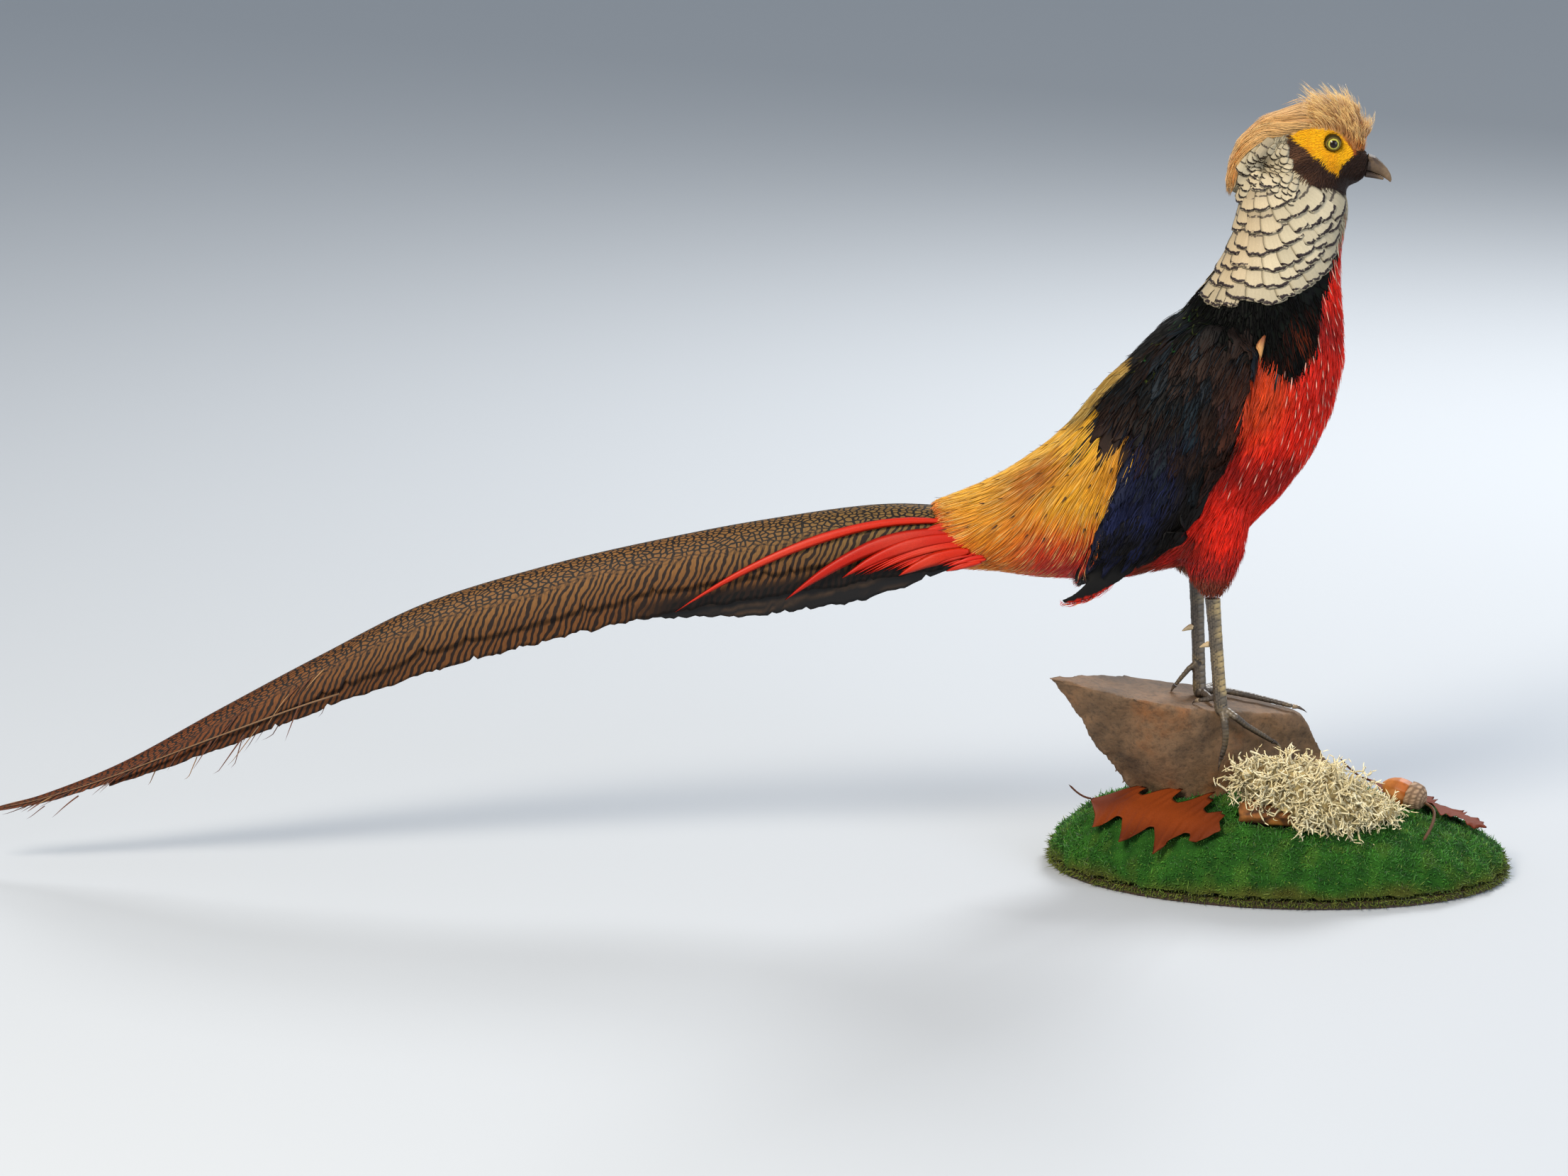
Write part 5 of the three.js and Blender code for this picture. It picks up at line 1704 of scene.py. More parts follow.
# ---------------------------------------------------------------- tail
def spline(table, count):
    """Stations spread evenly along a smooth curve through the given ones."""
    table = np.array(table, float)
    padded = np.concatenate([2 * table[:1] - table[1:2], table, 2 * table[-1:] - table[-2:-1]])
    at = np.linspace(0, len(table) - 1 - 1e-9, count)
    low = at.astype(int)
    t = (at - low)[:, None]
    a, b, c, d = (padded[low + i] for i in range(4))
    return 0.5 * (2 * b + (c - a) * t + (2 * a - 5 * b + 4 * c - d) * t**2 + (3 * b - a - 3 * c + d) * t**3)


TAIL_SMOOTH = spline(TAIL, 320)
TAIL_ROUND = 58.0  # from the ridge round to the lower edge, in mm
TAIL_PLATE = 1.6  # the thickness of one vane's solid, in mm
TAIL_SPACING = 1.2  # the gap between two of them, in mm


def tail_place(x, turn, depth, side):
    """A place on the tail, in metres: x in mm, turn 0 at the ridge and 1 at the lower edge, depth inwards."""
    table = TAIL_SMOOTH[::-1]
    ridge, half, drop = (np.interp(x, table[:, 0], table[:, i]) for i in (1, 2, 3))
    bend = turn * np.pi / 2
    out = 0.2 + (half - depth) * np.sin(bend)
    down = ridge - depth - (drop - depth) * (1 - np.cos(bend))
    return np.stack([np.broadcast_to(x, np.shape(out)), side * out, down], -1) * MM


class PHEASANT_OT_tail(bpy.types.Operator):
    """Makes the long roofed tail: two broad centre vanes, two side vanes and the frayed tip"""
    bl_idname = "pheasant.tail"
    bl_label = "Tail"
    # From the outermost: its name, start and end in mm, turn at its edges, rows, columns and seed.
    layers = [("centre", (-200, -884), (0.0, 0.80), 260, 19, 111),
              ("side", (-212, -800), (0.42, 1.0), 230, 15, 113),
              ("under", (-206, -462), (0.78, 1.22), 90, 11, 115)]

    def execute(self, context):
        plumage = context.scene.pheasant_plumage
        finish = tail_vane_finish()
        dark = feather_finish("dark undertail vane", 0.5, 0.3, 0.0, 0.6)
        for name, side in SIDES.items():
            for layer, (part, span, turns, rows, columns, seed) in enumerate(self.layers):
                lowest = part == "under"
                coat = Coat()
                depth = layer * (TAIL_PLATE + TAIL_SPACING)
                self.vane(coat, plumage, side, span, turns, depth, rows, columns, seed + side, lowest)
                vane = coat.piece(f"tail_vane_{part}_{name}")
                if lowest:
                    finish_piece(vane, dark, "tail_under_feathers")
                else:
                    finish_piece(vane, finish, "tail_feathers", f"tail_{part}_{name}")
        frays = self.frays()
        finish_piece(frays, plumage_shaft(), "tail_feathers")
        return {"FINISHED"}

    def vane(self, coat, plumage, side, span, turns, depth, rows, columns, seed, lowest):
        """One closed vane as thick as its solid, its lower edge split into barbs."""
        rng = np.random.default_rng(seed)
        share = np.linspace(0, 1, rows)
        x = span[0] + (span[1] - span[0]) * share
        ragged = np.interp(share * 60, np.arange(61), rng.normal(0, 0.012, 61)) + rng.normal(0, 0.006, rows)
        notch = (rng.random(rows) < 0.05) * rng.uniform(0.02, 0.07, rows)
        high = (turns[1] + ragged - notch) * (1 - 0.25 * share**3)
        if lowest:
            high = turns[0] + (high - turns[0]) * smooth(-0.2, 0.34, share)
        across = np.linspace(0, 1, columns)
        turn = turns[0] + (high[:, None] - turns[0]) * across[None]
        grid_x = np.broadcast_to(x[:, None], turn.shape)
        lift = 0.35 * np.sin(across * 5 + rng.uniform(0, 6))[None] * smooth(0, 0.2, share)[:, None]
        upper = tail_place(grid_x, turn, depth - lift, side)
        lower = tail_place(grid_x, turn, depth + TAIL_PLATE * 0.6 - lift, side)
        points = closed(upper, lower)[None]
        vane = np.stack([-grid_x * MM, turn * TAIL_ROUND * MM], -1)
        vane = closed(vane, vane)
        flat = np.stack(np.broadcast_arrays(share[:, None], across), -1)
        bake = 0.01 + 0.98 * closed(flat, flat)
        colour = self.under_tint(vane) if lowest else self.tan(plumage, vane)
        coat.lay(points, vane_faces(rows, columns, side > 0), vane, bake[None], colour[None])

    def tan(self, plumage, vane):
        """The tan of the markings: duller at the root, fox-red to the tip, black under the root."""
        x = -vane[:, 0] / MM
        down = vane[:, 1] / MM / TAIL_ROUND
        colour = mixed(np.array(plumage.tan), shade("9A8348"), 0.5 * smooth(-420, -260, x))
        colour = layered(colour, ("A8541C", smooth(-560, -800, x)),
                         ("9C5426", 0.5 * smooth(0.5, 0.9, down)),
                         ("17130F", smooth(0.80, 0.9, down) * smooth(-470, -410, x)),
                         ("2A2018", 0.8 * smooth(0.06, 0.0, down)))
        deep = (0.45 - 0.09 * smooth(-500, -720, x)) * (1 - 0.26 * smooth(0.5, 0.75, down))
        return colour * deep[:, None]

    def under_tint(self, vane):
        """The dark vanes below the root: brown-black with dull buff streaks."""
        streak = ripple(np.stack([vane[:, 0] * 0.1, vane[:, 1], vane[:, 1]], -1), 0.004, 118)
        return mixed(shade("100D0C"), shade("43301F"), 0.8 * smooth(0.2, 0.9, streak))

    def frays(self):
        """Loose barbs and pale shafts where the tail's tip is worn."""
        coat = Coat()
        rng = np.random.default_rng(117)
        count = 46
        x0 = rng.uniform(-862, -640, count)
        low = rng.random(count)
        turn0 = np.clip(0.35 + 0.5 * low, 0, 0.95)
        side = np.where(rng.random(count) < 0.5, -1.0, 1.0)
        lengths = rng.uniform(8, 24, count)
        share = np.linspace(0, 1, 6)
        x = np.maximum(x0[:, None] - lengths[:, None] * share[None], -886)
        turn = turn0[:, None] + (0.10 + 0.3 * low)[:, None] * share[None]
        path = tail_place(x, np.clip(turn, 0, 1.08), -0.6, side[:, None])
        path[..., 2] -= (rng.uniform(0, 5, count)[:, None] * share[None] ** 2) * MM
        path[..., 2] = np.maximum(path[..., 2], 30 * MM)
        ways = unit(np.gradient(path, axis=1))
        out = np.stack([np.zeros(count), side, 0.4 * np.ones(count)], 1)[:, None]
        ups = along_skin(out, ways)
        widths = rng.uniform(0.6, 1.2, count) * MM
        pale = rng.random(count) < 0.2
        colour = np.where(pale[:, None], shade("A87C4C"), shade("6A3616")) * rng.uniform(0.6, 1.1, (count, 1))
        free_blades(coat, path, ups, ways, widths, 0.3 * MM, 0.85, np.clip(colour, 0, 1)[:, None], patches)
        self.shafts(coat)
        return coat.piece("tail_frays")

    def shafts(self, coat):
        """The straw-coloured shafts of the side vanes, seen near the tip."""
        for side in SIDES.values():
            share = np.linspace(0, 1, 24)
            x = -640 - 238 * share
            turn = 0.80 - 0.42 * share
            path = tail_place(x, turn, -0.7, side)[None]
            ways = unit(np.gradient(path, axis=1))
            out = np.array([0.0, side, 0.5])
            ups = along_skin(out, ways)
            widths = np.array([1.2 * MM])
            free_blades(coat, path, ups, ways, widths, 0.8 * MM, 0.7, shade("84603A"), patches)


def plumage_shaft():
    """Bare feather shafts and worn barbs: smooth straw keratin."""
    return feather_finish("worn shaft keratin", 0.45, 0.45, 0.1, 0.2)


class PHEASANT_OT_plumes(bpy.types.Operator):
    """Makes the scarlet plumes and coverts that lie over the root of the tail"""
    bl_idname = "pheasant.plumes"
    bl_label = "Scarlet plumes"
    # Each plume: start and end in mm, turn at its start and end, half width in mm, curve, lift in mm.
    long_ones = [(-224, -412, 0.42, 0.98, 3.4, 2.2, 2.4), (-220, -338, 0.58, 1.02, 5.0, 2.0, 3.0),
                 (-216, -300, 0.64, 0.92, 5.0, 1.8, 3.4), (-214, -262, 0.8, 0.98, 4.6, 1.6, 3.2)]

    def execute(self, context):
        plumage = context.scene.pheasant_plumage
        finish = feather_finish("glossy scarlet plume", 0.42, 0.22, 0.0, 0.6)
        for name, side in SIDES.items():
            coat = Coat()
            rng = np.random.default_rng(121 + side)
            plumes = list(self.long_ones)
            for number in range(70):
                turn = 0.34 + 0.62 * number / 69
                start = -202 - rng.uniform(0, 16)
                length = 14 + 66 * np.exp(-((turn - 0.66) / 0.15) ** 2) + rng.uniform(-6, 8)
                plumes.append((start, start - length, turn, min(turn + 0.003 * length, 1.0),
                               rng.uniform(1.1, 2.2), 1.8, rng.uniform(0.8, 2.8)))
            for plume in plumes:
                self.plume(coat, plumage, side, plume, rng)
            finish_piece(coat.piece(f"plume_plumage_{name}"), finish, "plume_feathers", f"plume_long_{name}",
                         f"plume_short_{name}")
        return {"FINISHED"}

    def plume(self, coat, plumage, side, plume, rng):
        start, end, turn0, turn1, half, curve, lift = plume
        rows, columns = 20, 5
        share = np.linspace(0, 1, rows)[:, None]
        u = np.linspace(-1, 1, columns)[None]
        x = start + (end - start) * share
        turn = turn0 + (turn1 - turn0) * share**curve
        form = np.interp(share, [0, 0.15, 0.5, 0.8, 1], [0.4, 0.8, 1.0, 0.6, 0.05])
        height = lift + 0.9 * np.sin(share * 3.0) - 0.9 * u**2
        centre = tail_place(x, np.clip(turn, 0, 1.08), -height, side)
        ahead = tail_place(x, np.clip(turn + 0.05, 0, 1.2), -height, side)
        over = unit(ahead - centre)
        slope = np.gradient(np.broadcast_to(turn, (rows, 1)), axis=0) / np.maximum(abs(end - start) / rows, 1)
        places = centre + over * (u * form)[..., None] * half * MM
        places[..., 0] += u * form * half * slope * 46 * MM
        under = places - np.cross(over, np.array([side * 1.0, 0, 0])) * 0.35 * MM
        points = closed(places, under)[None]
        grid = np.stack(np.broadcast_arrays((u + 1) / 2, share), -1)
        vane = closed(grid, grid)
        colour = np.array(plumage.scarlet) * [1, 0.7, 0.6] * rng.uniform(0.46, 0.66)
        glint = np.exp(-((vane[:, 1] - rng.uniform(0.35, 0.65)) / 0.16) ** 2)
        glint = glint * (np.abs(vane[:, 0] - 0.5) < 0.3)
        colour = mixed(colour, shade("B0380C"), rng.uniform(0, 0.3))
        tint = mixed(np.tile(colour, (len(vane), 1)), shade("F09070"), 0.06 * glint)
        coat.lay(points, vane_faces(rows, columns, side < 0), vane, patches(places[None, 0, 2], vane),
                 np.clip(tint, 0, 1)[None])


class PHEASANT_OT_tail_under(bpy.types.Operator):
    """Lays the dark feathers under the root of the tail"""
    bl_idname = "pheasant.tail_under"
    bl_label = "Under the tail"

    def execute(self, context):
        body = remeshed(["tail_under"], "tail_under_skin", 0.0016, 4)
        push_out(body, -1.2)
        under = Surface(body)
        finish_piece(body, skin_finish(), "tail_under_feathers", "tail_under", colour=shade("141012"))

        coat = Coat()
        roots, normals = under.scatter(8.0 * MM, lambda p: p[:, 0] < -0.2, 131)
        look = vane_look(58, 11, rows=12, columns=5, stray=0.05, bed=0.5, rise=1.6, curl=0.4, roll=0.5,
                         camber=0.7, corner=0.3, ragged=0.02, pull=1.2,
                         form=((0, 0.5), (0.3, 1.0), (0.8, 0.7), (1, 0.15)))

        def tint(places, vane, rng):
            colour = np.where(rng.random((len(places), 1)) < 0.25, shade("5A4632"), shade("1D191C"))
            return np.repeat(colour[:, None] * rng.uniform(0.7, 1.2, (len(places), 1, 1)), len(vane), axis=1)

        vanes(coat, under, roots, normals, look, tint, 132, lie=steady(-1.0, -0.16), own_cells=False)
        finish_piece(coat.piece("tail_under_plumage"),
                     feather_finish("black undertail vane", 0.45, 0.35, 0.0, 0.6), "tail_under_feathers")
        return {"FINISHED"}


# ---------------------------------------------------------------- legs
def line_place(places, line):
    """For each place: its distance from a bent line, and how far along the line it is, all in mm."""
    line = np.array(line, float)
    near = np.full(len(places), np.inf)
    along = np.zeros(len(places))
    gone = 0.0
    for start, end in zip(line[:-1], line[1:]):
        step = end - start
        length = np.linalg.norm(step)
        way = np.clip((places - start) @ step / length**2, 0, 1)
        gap = np.linalg.norm(places - start - way[:, None] * step, axis=1)
        closer = gap < near
        near = np.where(closer, gap, near)
        along = np.where(closer, gone + way * length, along)
        gone += length
    return near, along


class PHEASANT_OT_legs(bpy.types.Operator):
    """Makes the scaled legs and feet, the spurs and the claws"""
    bl_idname = "pheasant.legs"
    bl_label = "Legs and feet"

    def execute(self, context):
        scales = painted_finish("dry scaled leg horn", 0.42, 0.5, 500.0, 0.0003)
        horn = painted_finish("dark claw horn", 0.35, 0.5, 350.0, 0.0002)
        for name in SIDES:
            leg = remeshed([f"shank_{name}", f"foot_{name}"], f"leg_{name}", 0.00075, 4, grow=0.00015)
            colour = self.scutes(leg, name)
            finish_piece(leg, scales, "leg_scales", f"shank_{name}", f"foot_{name}", colour=colour)
            nodes = [f"claw_{name}_{toe}" for toe in ("middle", "outer", "inner", "hind")]
            claws = remeshed(nodes, f"claws_{name}", 0.00045, 3)
            places = points_of(claws.data)
            colour = mixed(shade("3A302A"), shade("8A7860"), smooth(-0.2, 0.8, ripple(places, 0.006, 141)))
            finish_piece(claws, horn, "claw_horn", *nodes, colour=colour)
            spur = remeshed([f"spur_{name}"], f"spur_horn_{name}", 0.0005, 3)
            finish_piece(spur, horn, "claw_horn", f"spur_{name}", colour=shade("B9A27C"))
        return {"FINISHED"}

    def scutes(self, leg, name):
        """Raises broad scales in two columns in front, small ones behind and rings on the toes."""
        places = points_of(leg.data)
        mm = places / MM
        lines = {"shank": SHANKS[name], **TOES[name]}
        found = {part: line_place(mm, line) for part, line in lines.items()}
        nearest = np.argmin(np.stack([gap for gap, _ in found.values()]), axis=0)
        middle = np.array(SHANKS[name], float)
        centre_y = np.interp(mm[:, 2], middle[::-1, 2], middle[::-1, 1])
        centre_x = np.interp(mm[:, 2], middle[::-1, 2], middle[::-1, 0])
        angle = np.arctan2(mm[:, 1] - centre_y, mm[:, 0] - centre_x)
        raised = np.zeros(len(places))
        down = found["shank"][1]
        column = np.where(angle > 0, 0.0, 0.5)
        broad = np.abs(np.sin(np.pi * (down / 4.2 + column + 0.12 * angle)))
        seam = np.clip(np.abs(angle) / 0.16, 0, 1)
        small = np.abs(np.sin(np.pi * (down / 2.6 + 0.5 * np.floor(angle / 0.42))))
        small = small * np.abs(np.sin(angle / 0.42 * np.pi))
        front = smooth(1.75, 1.45, np.abs(angle))
        plates = front * np.minimum(broad, seam) ** 0.45 + (1 - front) * small**0.45
        for number, (_, along) in enumerate(found.values()):
            rings = plates if number == 0 else np.abs(np.sin(np.pi * along / 2.7)) ** 0.4
            raised = np.where(nearest == number, rings, raised)
        under = smooth(-0.2, -0.7, normals_of(leg.data)[:, 2]) * (nearest > 0)
        raised = raised * (1 - 0.8 * under)
        push_out(leg, (raised - 0.55) * 0.34)
        tone = mixed(shade("5E5444"), shade("A08A5C"), smooth(-0.3, 0.9, ripple(places, 0.012, 143)))
        tone = layered(tone, ("4A423A", 0.65 * (nearest == 0) * smooth(0.6, 2.2, np.abs(angle))),
                       ("3C332C", 0.8 * (nearest > 0)))
        return mixed(shade("2A241E"), tone, smooth(0.2, 0.8, raised))


# ---------------------------------------------------------------- the base
def dropped(surface, x, y):
    """The places straight below x, y, in metres, and the normals there; NaN where nothing is below."""
    places = np.full((len(x), 3), np.nan)
    normals = np.zeros((len(x), 3))
    for i, (px, py) in enumerate(zip(x, y)):
        hit = surface.tree.ray_cast(Vector((px, py, OUTSIDE)), Vector((0, 0, -1)))
        if hit[0] is not None:
            places[i] = hit[0]
            normals[i] = hit[1]
    return places, normals


class PHEASANT_OT_moss(bpy.types.Operator):
    """Makes the oval board's mound of moss, and its shoots"""
    bl_idname = "pheasant.moss"
    bl_label = "Board and moss"
    # Rows of shoots along the rim: how far out from the board's edge, and how high, in mm.
    rim_rows = [(0, 2.6), (0, 3.6), (0, 4.6), (-1.4, 5), (-2.8, 5), (-4.2, 5.4)]

    def execute(self, context):
        settings = context.scene.pheasant_base
        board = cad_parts["base_board"]
        board.data.materials.clear()
        board.data.materials.append(board_finish())
        mound = remeshed(["base_moss"], "moss_mound", 0.003, 4)
        places = points_of(mound.data)
        push_out(mound, 0.9 * ripple(places, 0.012, 151) + 0.7 * ripple(places, 0.005, 152) - 1.6)
        bed = painted_finish("dense moss bed", 0.95, 0.1, 700.0, 0.0008)
        # Painted shade: the bed under the shoots is their colour at 0.55.
        finish_piece(mound, bed, "moss", "base_moss", colour=self.colour(places) * 0.55)
        moss = surfaces["moss"] = Surface(mound)
        finish = feather_finish("leafy moss shoot", 0.85, 0.12, 0.1, 0.3)
        for name, side in (("front", -1), ("back", 1)):
            def chosen(places, side=side):
                return (places[:, 1] * side >= 0) & (places[:, 2] > 5.5 * MM)

            roots, normals = moss.scatter(settings.moss_spacing, chosen, 153 + side)
            tall = settings.moss_height / MM * (1 - 0.6 * self.covered(roots))
            rim, out = self.rim(board, side)
            roots, normals = np.concatenate([roots, rim]), np.concatenate([normals, out])
            tall = np.concatenate([tall, np.full(len(rim), settings.moss_height / MM)])
            coat = Coat()
            self.shoots(coat, roots, normals, tall, 155 + side)
            finish_piece(coat.piece(f"moss_shoots_{name}"), finish, "moss")
        return {"FINISHED"}

    def rim(self, board, side):
        """Roots along the board's edge and the ledge above it, which the moss hangs over."""
        places = points_of(board.data)
        high = places[:, 2].max()
        top = places[places[:, 2] > high - 0.1 * MM]
        centre = (top.min(axis=0) + top.max(axis=0)) / 2
        turn = np.arctan2(top[:, 1] - centre[1], top[:, 0] - centre[0])
        top = top[np.argsort(turn)]
        top = np.concatenate([top, top[:1]])
        run = np.concatenate([[0], np.cumsum(np.linalg.norm(np.diff(top, axis=0), axis=1))])
        at = np.arange(0, run[-1], 1.3 * MM)
        ring = np.stack([np.interp(at, run, top[:, i]) for i in range(3)], 1)
        out = unit((ring - centre) * [1, 2.4, 0])
        rows = [ring + out * inset * MM + [0, 0, z * MM - high] for inset, z in self.rim_rows]
        roots = np.concatenate(rows)
        normals = np.tile(out, (len(rows), 1))
        keep = roots[:, 1] * side >= 0
        return roots[keep], normals[keep]

    def covered(self, roots):
        """Which roots lie under an oak leaf."""
        under = np.zeros(len(roots), bool)
        for name in ("base_leaf_front", "base_leaf_back"):
            leaf = Surface(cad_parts[name])
            hits, _ = dropped(leaf, roots[:, 0], roots[:, 1])
            under |= ~np.isnan(hits[:, 2])
        return under

    def colour(self, places):
        """Deep green above, yellower and brown along the lower edge."""
        green = mixed(shade("26541C"), shade("3B7426"),
                      np.clip(0.45 + 0.45 * ripple(places, 0.008, 157), 0, 1))
        green = mixed(green, shade("5E7A2C"), 0.3 * smooth(0.3, 0.9, ripple(places, 0.012, 158)))
        low = smooth(17, 6, places[..., 2] / MM + 4 * ripple(places, 0.016, 159))
        return mixed(green, shade("6A5C28"), 0.6 * low)

    def shoots(self, coat, roots, normals, tall, seed):
        rng = np.random.default_rng(seed)
        count = len(roots)
        share = np.linspace(0, 1, 3)
        # Along the foot of the mound they hang out over the board's edge.
        foot = smooth(9, 5, roots[:, 2] / MM)[:, None]
        aim = unit(normals + rng.normal(0, 0.5, (count, 3)) - [0, 0, 0.9] * foot)
        droop = rng.normal(0, 1.1, (count, 3))
        lengths = rng.uniform(0.5, 1.0, count) * tall * (1 + 0.5 * foot[:, 0]) * MM
        path = arcs(roots, lengths, aim, droop, share, 0.6)
        path[..., 2] = np.maximum(path[..., 2], 1.2 * MM)
        ways, ups = free_ways(path, rng.normal(0, 1, (count, 1, 3)))
        widths = rng.uniform(0.8, 1.35, count) * MM
        colours = painted(self.colour, 0.5, 1.3, 0.22, shade("86963C"), 0.12)(roots, share, rng)
        free_blades(coat, path, ups, ways, widths, 0.3 * MM, 0.5, per_row(colours, 2), patches_flat)


def patches_flat(roots, vane):
    """Patches of the bake map for small things on the base, at their place seen from above."""
    low = np.array([-0.175, -0.12])
    at = 0.01 + 0.97 * np.clip((roots[:, :2] - low) / np.array([0.36, 0.24]), 0, 1)
    return at[:, None, :] + PATCH * (np.asarray(vane) - 0.5)


class PHEASANT_OT_stone(bpy.types.Operator):
    """Makes the stone slab the bird stands on, and the broken bark by it"""
    bl_idname = "pheasant.stone"
    bl_label = "Stone and bark"

    def execute(self, context):
        rock = remeshed(["base_rock"], "stone_slab", 0.0026, 3)
        places = points_of(rock.data)
        top = smooth(0.55, 0.9, normals_of(rock.data)[:, 2])
        broken = 1.5 * ripple(places, 0.022, 161) + 0.6 * ripple(places * [1, 1, 1.3], 0.009, 162)
        chipped = 0.5 * np.abs(ripple(places, 0.004, 163))
        relief = (1 - top) * (broken - chipped) + top * (0.35 * ripple(places, 0.01, 164) - 0.2)
        push_out(rock, np.clip(relief - 0.5, -3, 0.8))
        shade_smooth(rock)
        finish_piece(rock, stone_finish(), "stone", "base_rock")

        bark = remeshed(["base_bark"], "bark_piece", 0.0012, 3)
        places = points_of(bark.data)
        ridges = np.abs(ripple(places * [0.35, 1, 1], 0.006, 165))
        push_out(bark, 0.9 * ridges - 0.9)
        colour = mixed(shade("3B2416"), shade("8A5526"), np.clip(ridges * 1.1, 0, 1))
        wood = smooth(0.3, 0.8, ripple(places, 0.014, 166))
        colour = mixed(colour, shade("D0853A"), 0.8 * wood)
        finish_piece(bark, painted_finish("flaked bark", 0.75, 0.3, 380.0, 0.0006), "bark", "base_bark",
                     colour=colour)
        return {"FINISHED"}


class PHEASANT_OT_lichen(bpy.types.Operator):
    """Makes the mound of curly cream lichen"""
    bl_idname = "pheasant.lichen"
    bl_label = "Lichen"

    def execute(self, context):
        settings = context.scene.pheasant_base
        bed = remeshed(["base_lichen"], "lichen_bed", 0.0016, 4)
        rough = ripple(points_of(bed.data), 0.006, 171)
        push_out(bed, 0.8 * rough - 3.4)
        colour = mixed(shade("6A5632"), shade("B8A470"), np.clip(0.5 + 0.5 * rough, 0, 1))
        finish = painted_finish("curly cream lichen", 0.85, 0.25, 900.0, 0.0003)
        finish_piece(bed, finish, "lichen", "base_lichen", colour=colour)
        roots, normals = Surface(bed).scatter(settings.lichen_spacing, lambda p: p[:, 2] > 30 * MM, 172)
        coat = Coat()
        rng = np.random.default_rng(173)
        tips, size = roots, np.full(len(roots), 1.0)
        aims = unit(0.6 * normals + rng.normal(0, 0.75, roots.shape))
        for level in range(3):
            tips, aims, size = self.grow(coat, tips, aims, size, level, rng)
        finish_piece(coat.piece("lichen_thalli"), finish, "lichen")
        return {"FINISHED"}

    def grow(self, coat, roots, aims, size, level, rng):
        """One flat curling branch from each root; returns where the next ones fork off."""
        count = len(roots)
        rows = 5
        share = np.linspace(0, 1, rows)
        length = rng.uniform(4.0, 6.6, count) * size * MM
        curl = rng.normal(0, 1.2, (count, 3)) - np.array([0, 0, 0.3])
        path = arcs(roots, length, aims, curl, share)
        # The thalli are flat and mostly show their broad side outwards.
        face = unit(roots - LICHEN_HEART) + rng.normal(0, 0.35, (count, 3))
        ways, ups = free_ways(path, face[:, None])
        widths = rng.uniform(1.5, 2.6, count) * size * (1.0 if level < 2 else 0.8) * MM
        taper = 0.1 if level < 2 else 0.35
        tone = mixed(shade("D2C08E"), shade("EEE3BE"), rng.random(count))
        # Painted shade inside the tuft: the lower branches and the root of each darker, the outer tips
        # lighter.
        ramp = (0.55 + 0.22 * level) + 0.25 * share
        colours = np.clip(tone[:, None] * ramp[None, :, None], 0, 1)
        tint = per_row(colours, rows - 1)
        free_blades(coat, path, ups, ways, widths, 0.5 * MM, taper, tint, patches_flat)
        fork = np.concatenate([path[:, 3], path[:, 4]])
        way = np.concatenate([ways[:, 3], ways[:, 4]])
        away = unit(way + rng.normal(0, 0.7, way.shape))
        return fork, away, np.concatenate([size, size]) * 0.76


LICHEN_HEART = np.array([18.0, -20.0, 40.0]) * MM
LEAVES = {
    # Its middle, its turn, its length and half width, in mm and degrees, then its solid and its seed.
    "front": ((-87, -31), -42, 110, 37, "base_leaf_front", 181),
    "back": ((102, 7), -27, 88, 27, "base_leaf_back", 183),
}
# Lobe tips of a red oak leaf: share along the leaf and share of the half width; the bays lie between them.
LOBES = [(0.04, 0.20), (0.10, 0.42), (0.15, 0.84), (0.18, 0.60), (0.21, 0.66), (0.24, 0.38), (0.30, 0.34),
         (0.345, 0.60), (0.395, 1.0), (0.43, 0.72), (0.465, 0.80), (0.495, 0.42), (0.56, 0.36), (0.61, 0.60),
         (0.665, 0.98), (0.70, 0.64), (0.735, 0.70), (0.765, 0.34), (0.83, 0.26), (0.87, 0.50), (0.895, 0.38),
         (0.925, 0.44), (0.95, 0.16), (1.0, 0.0)]


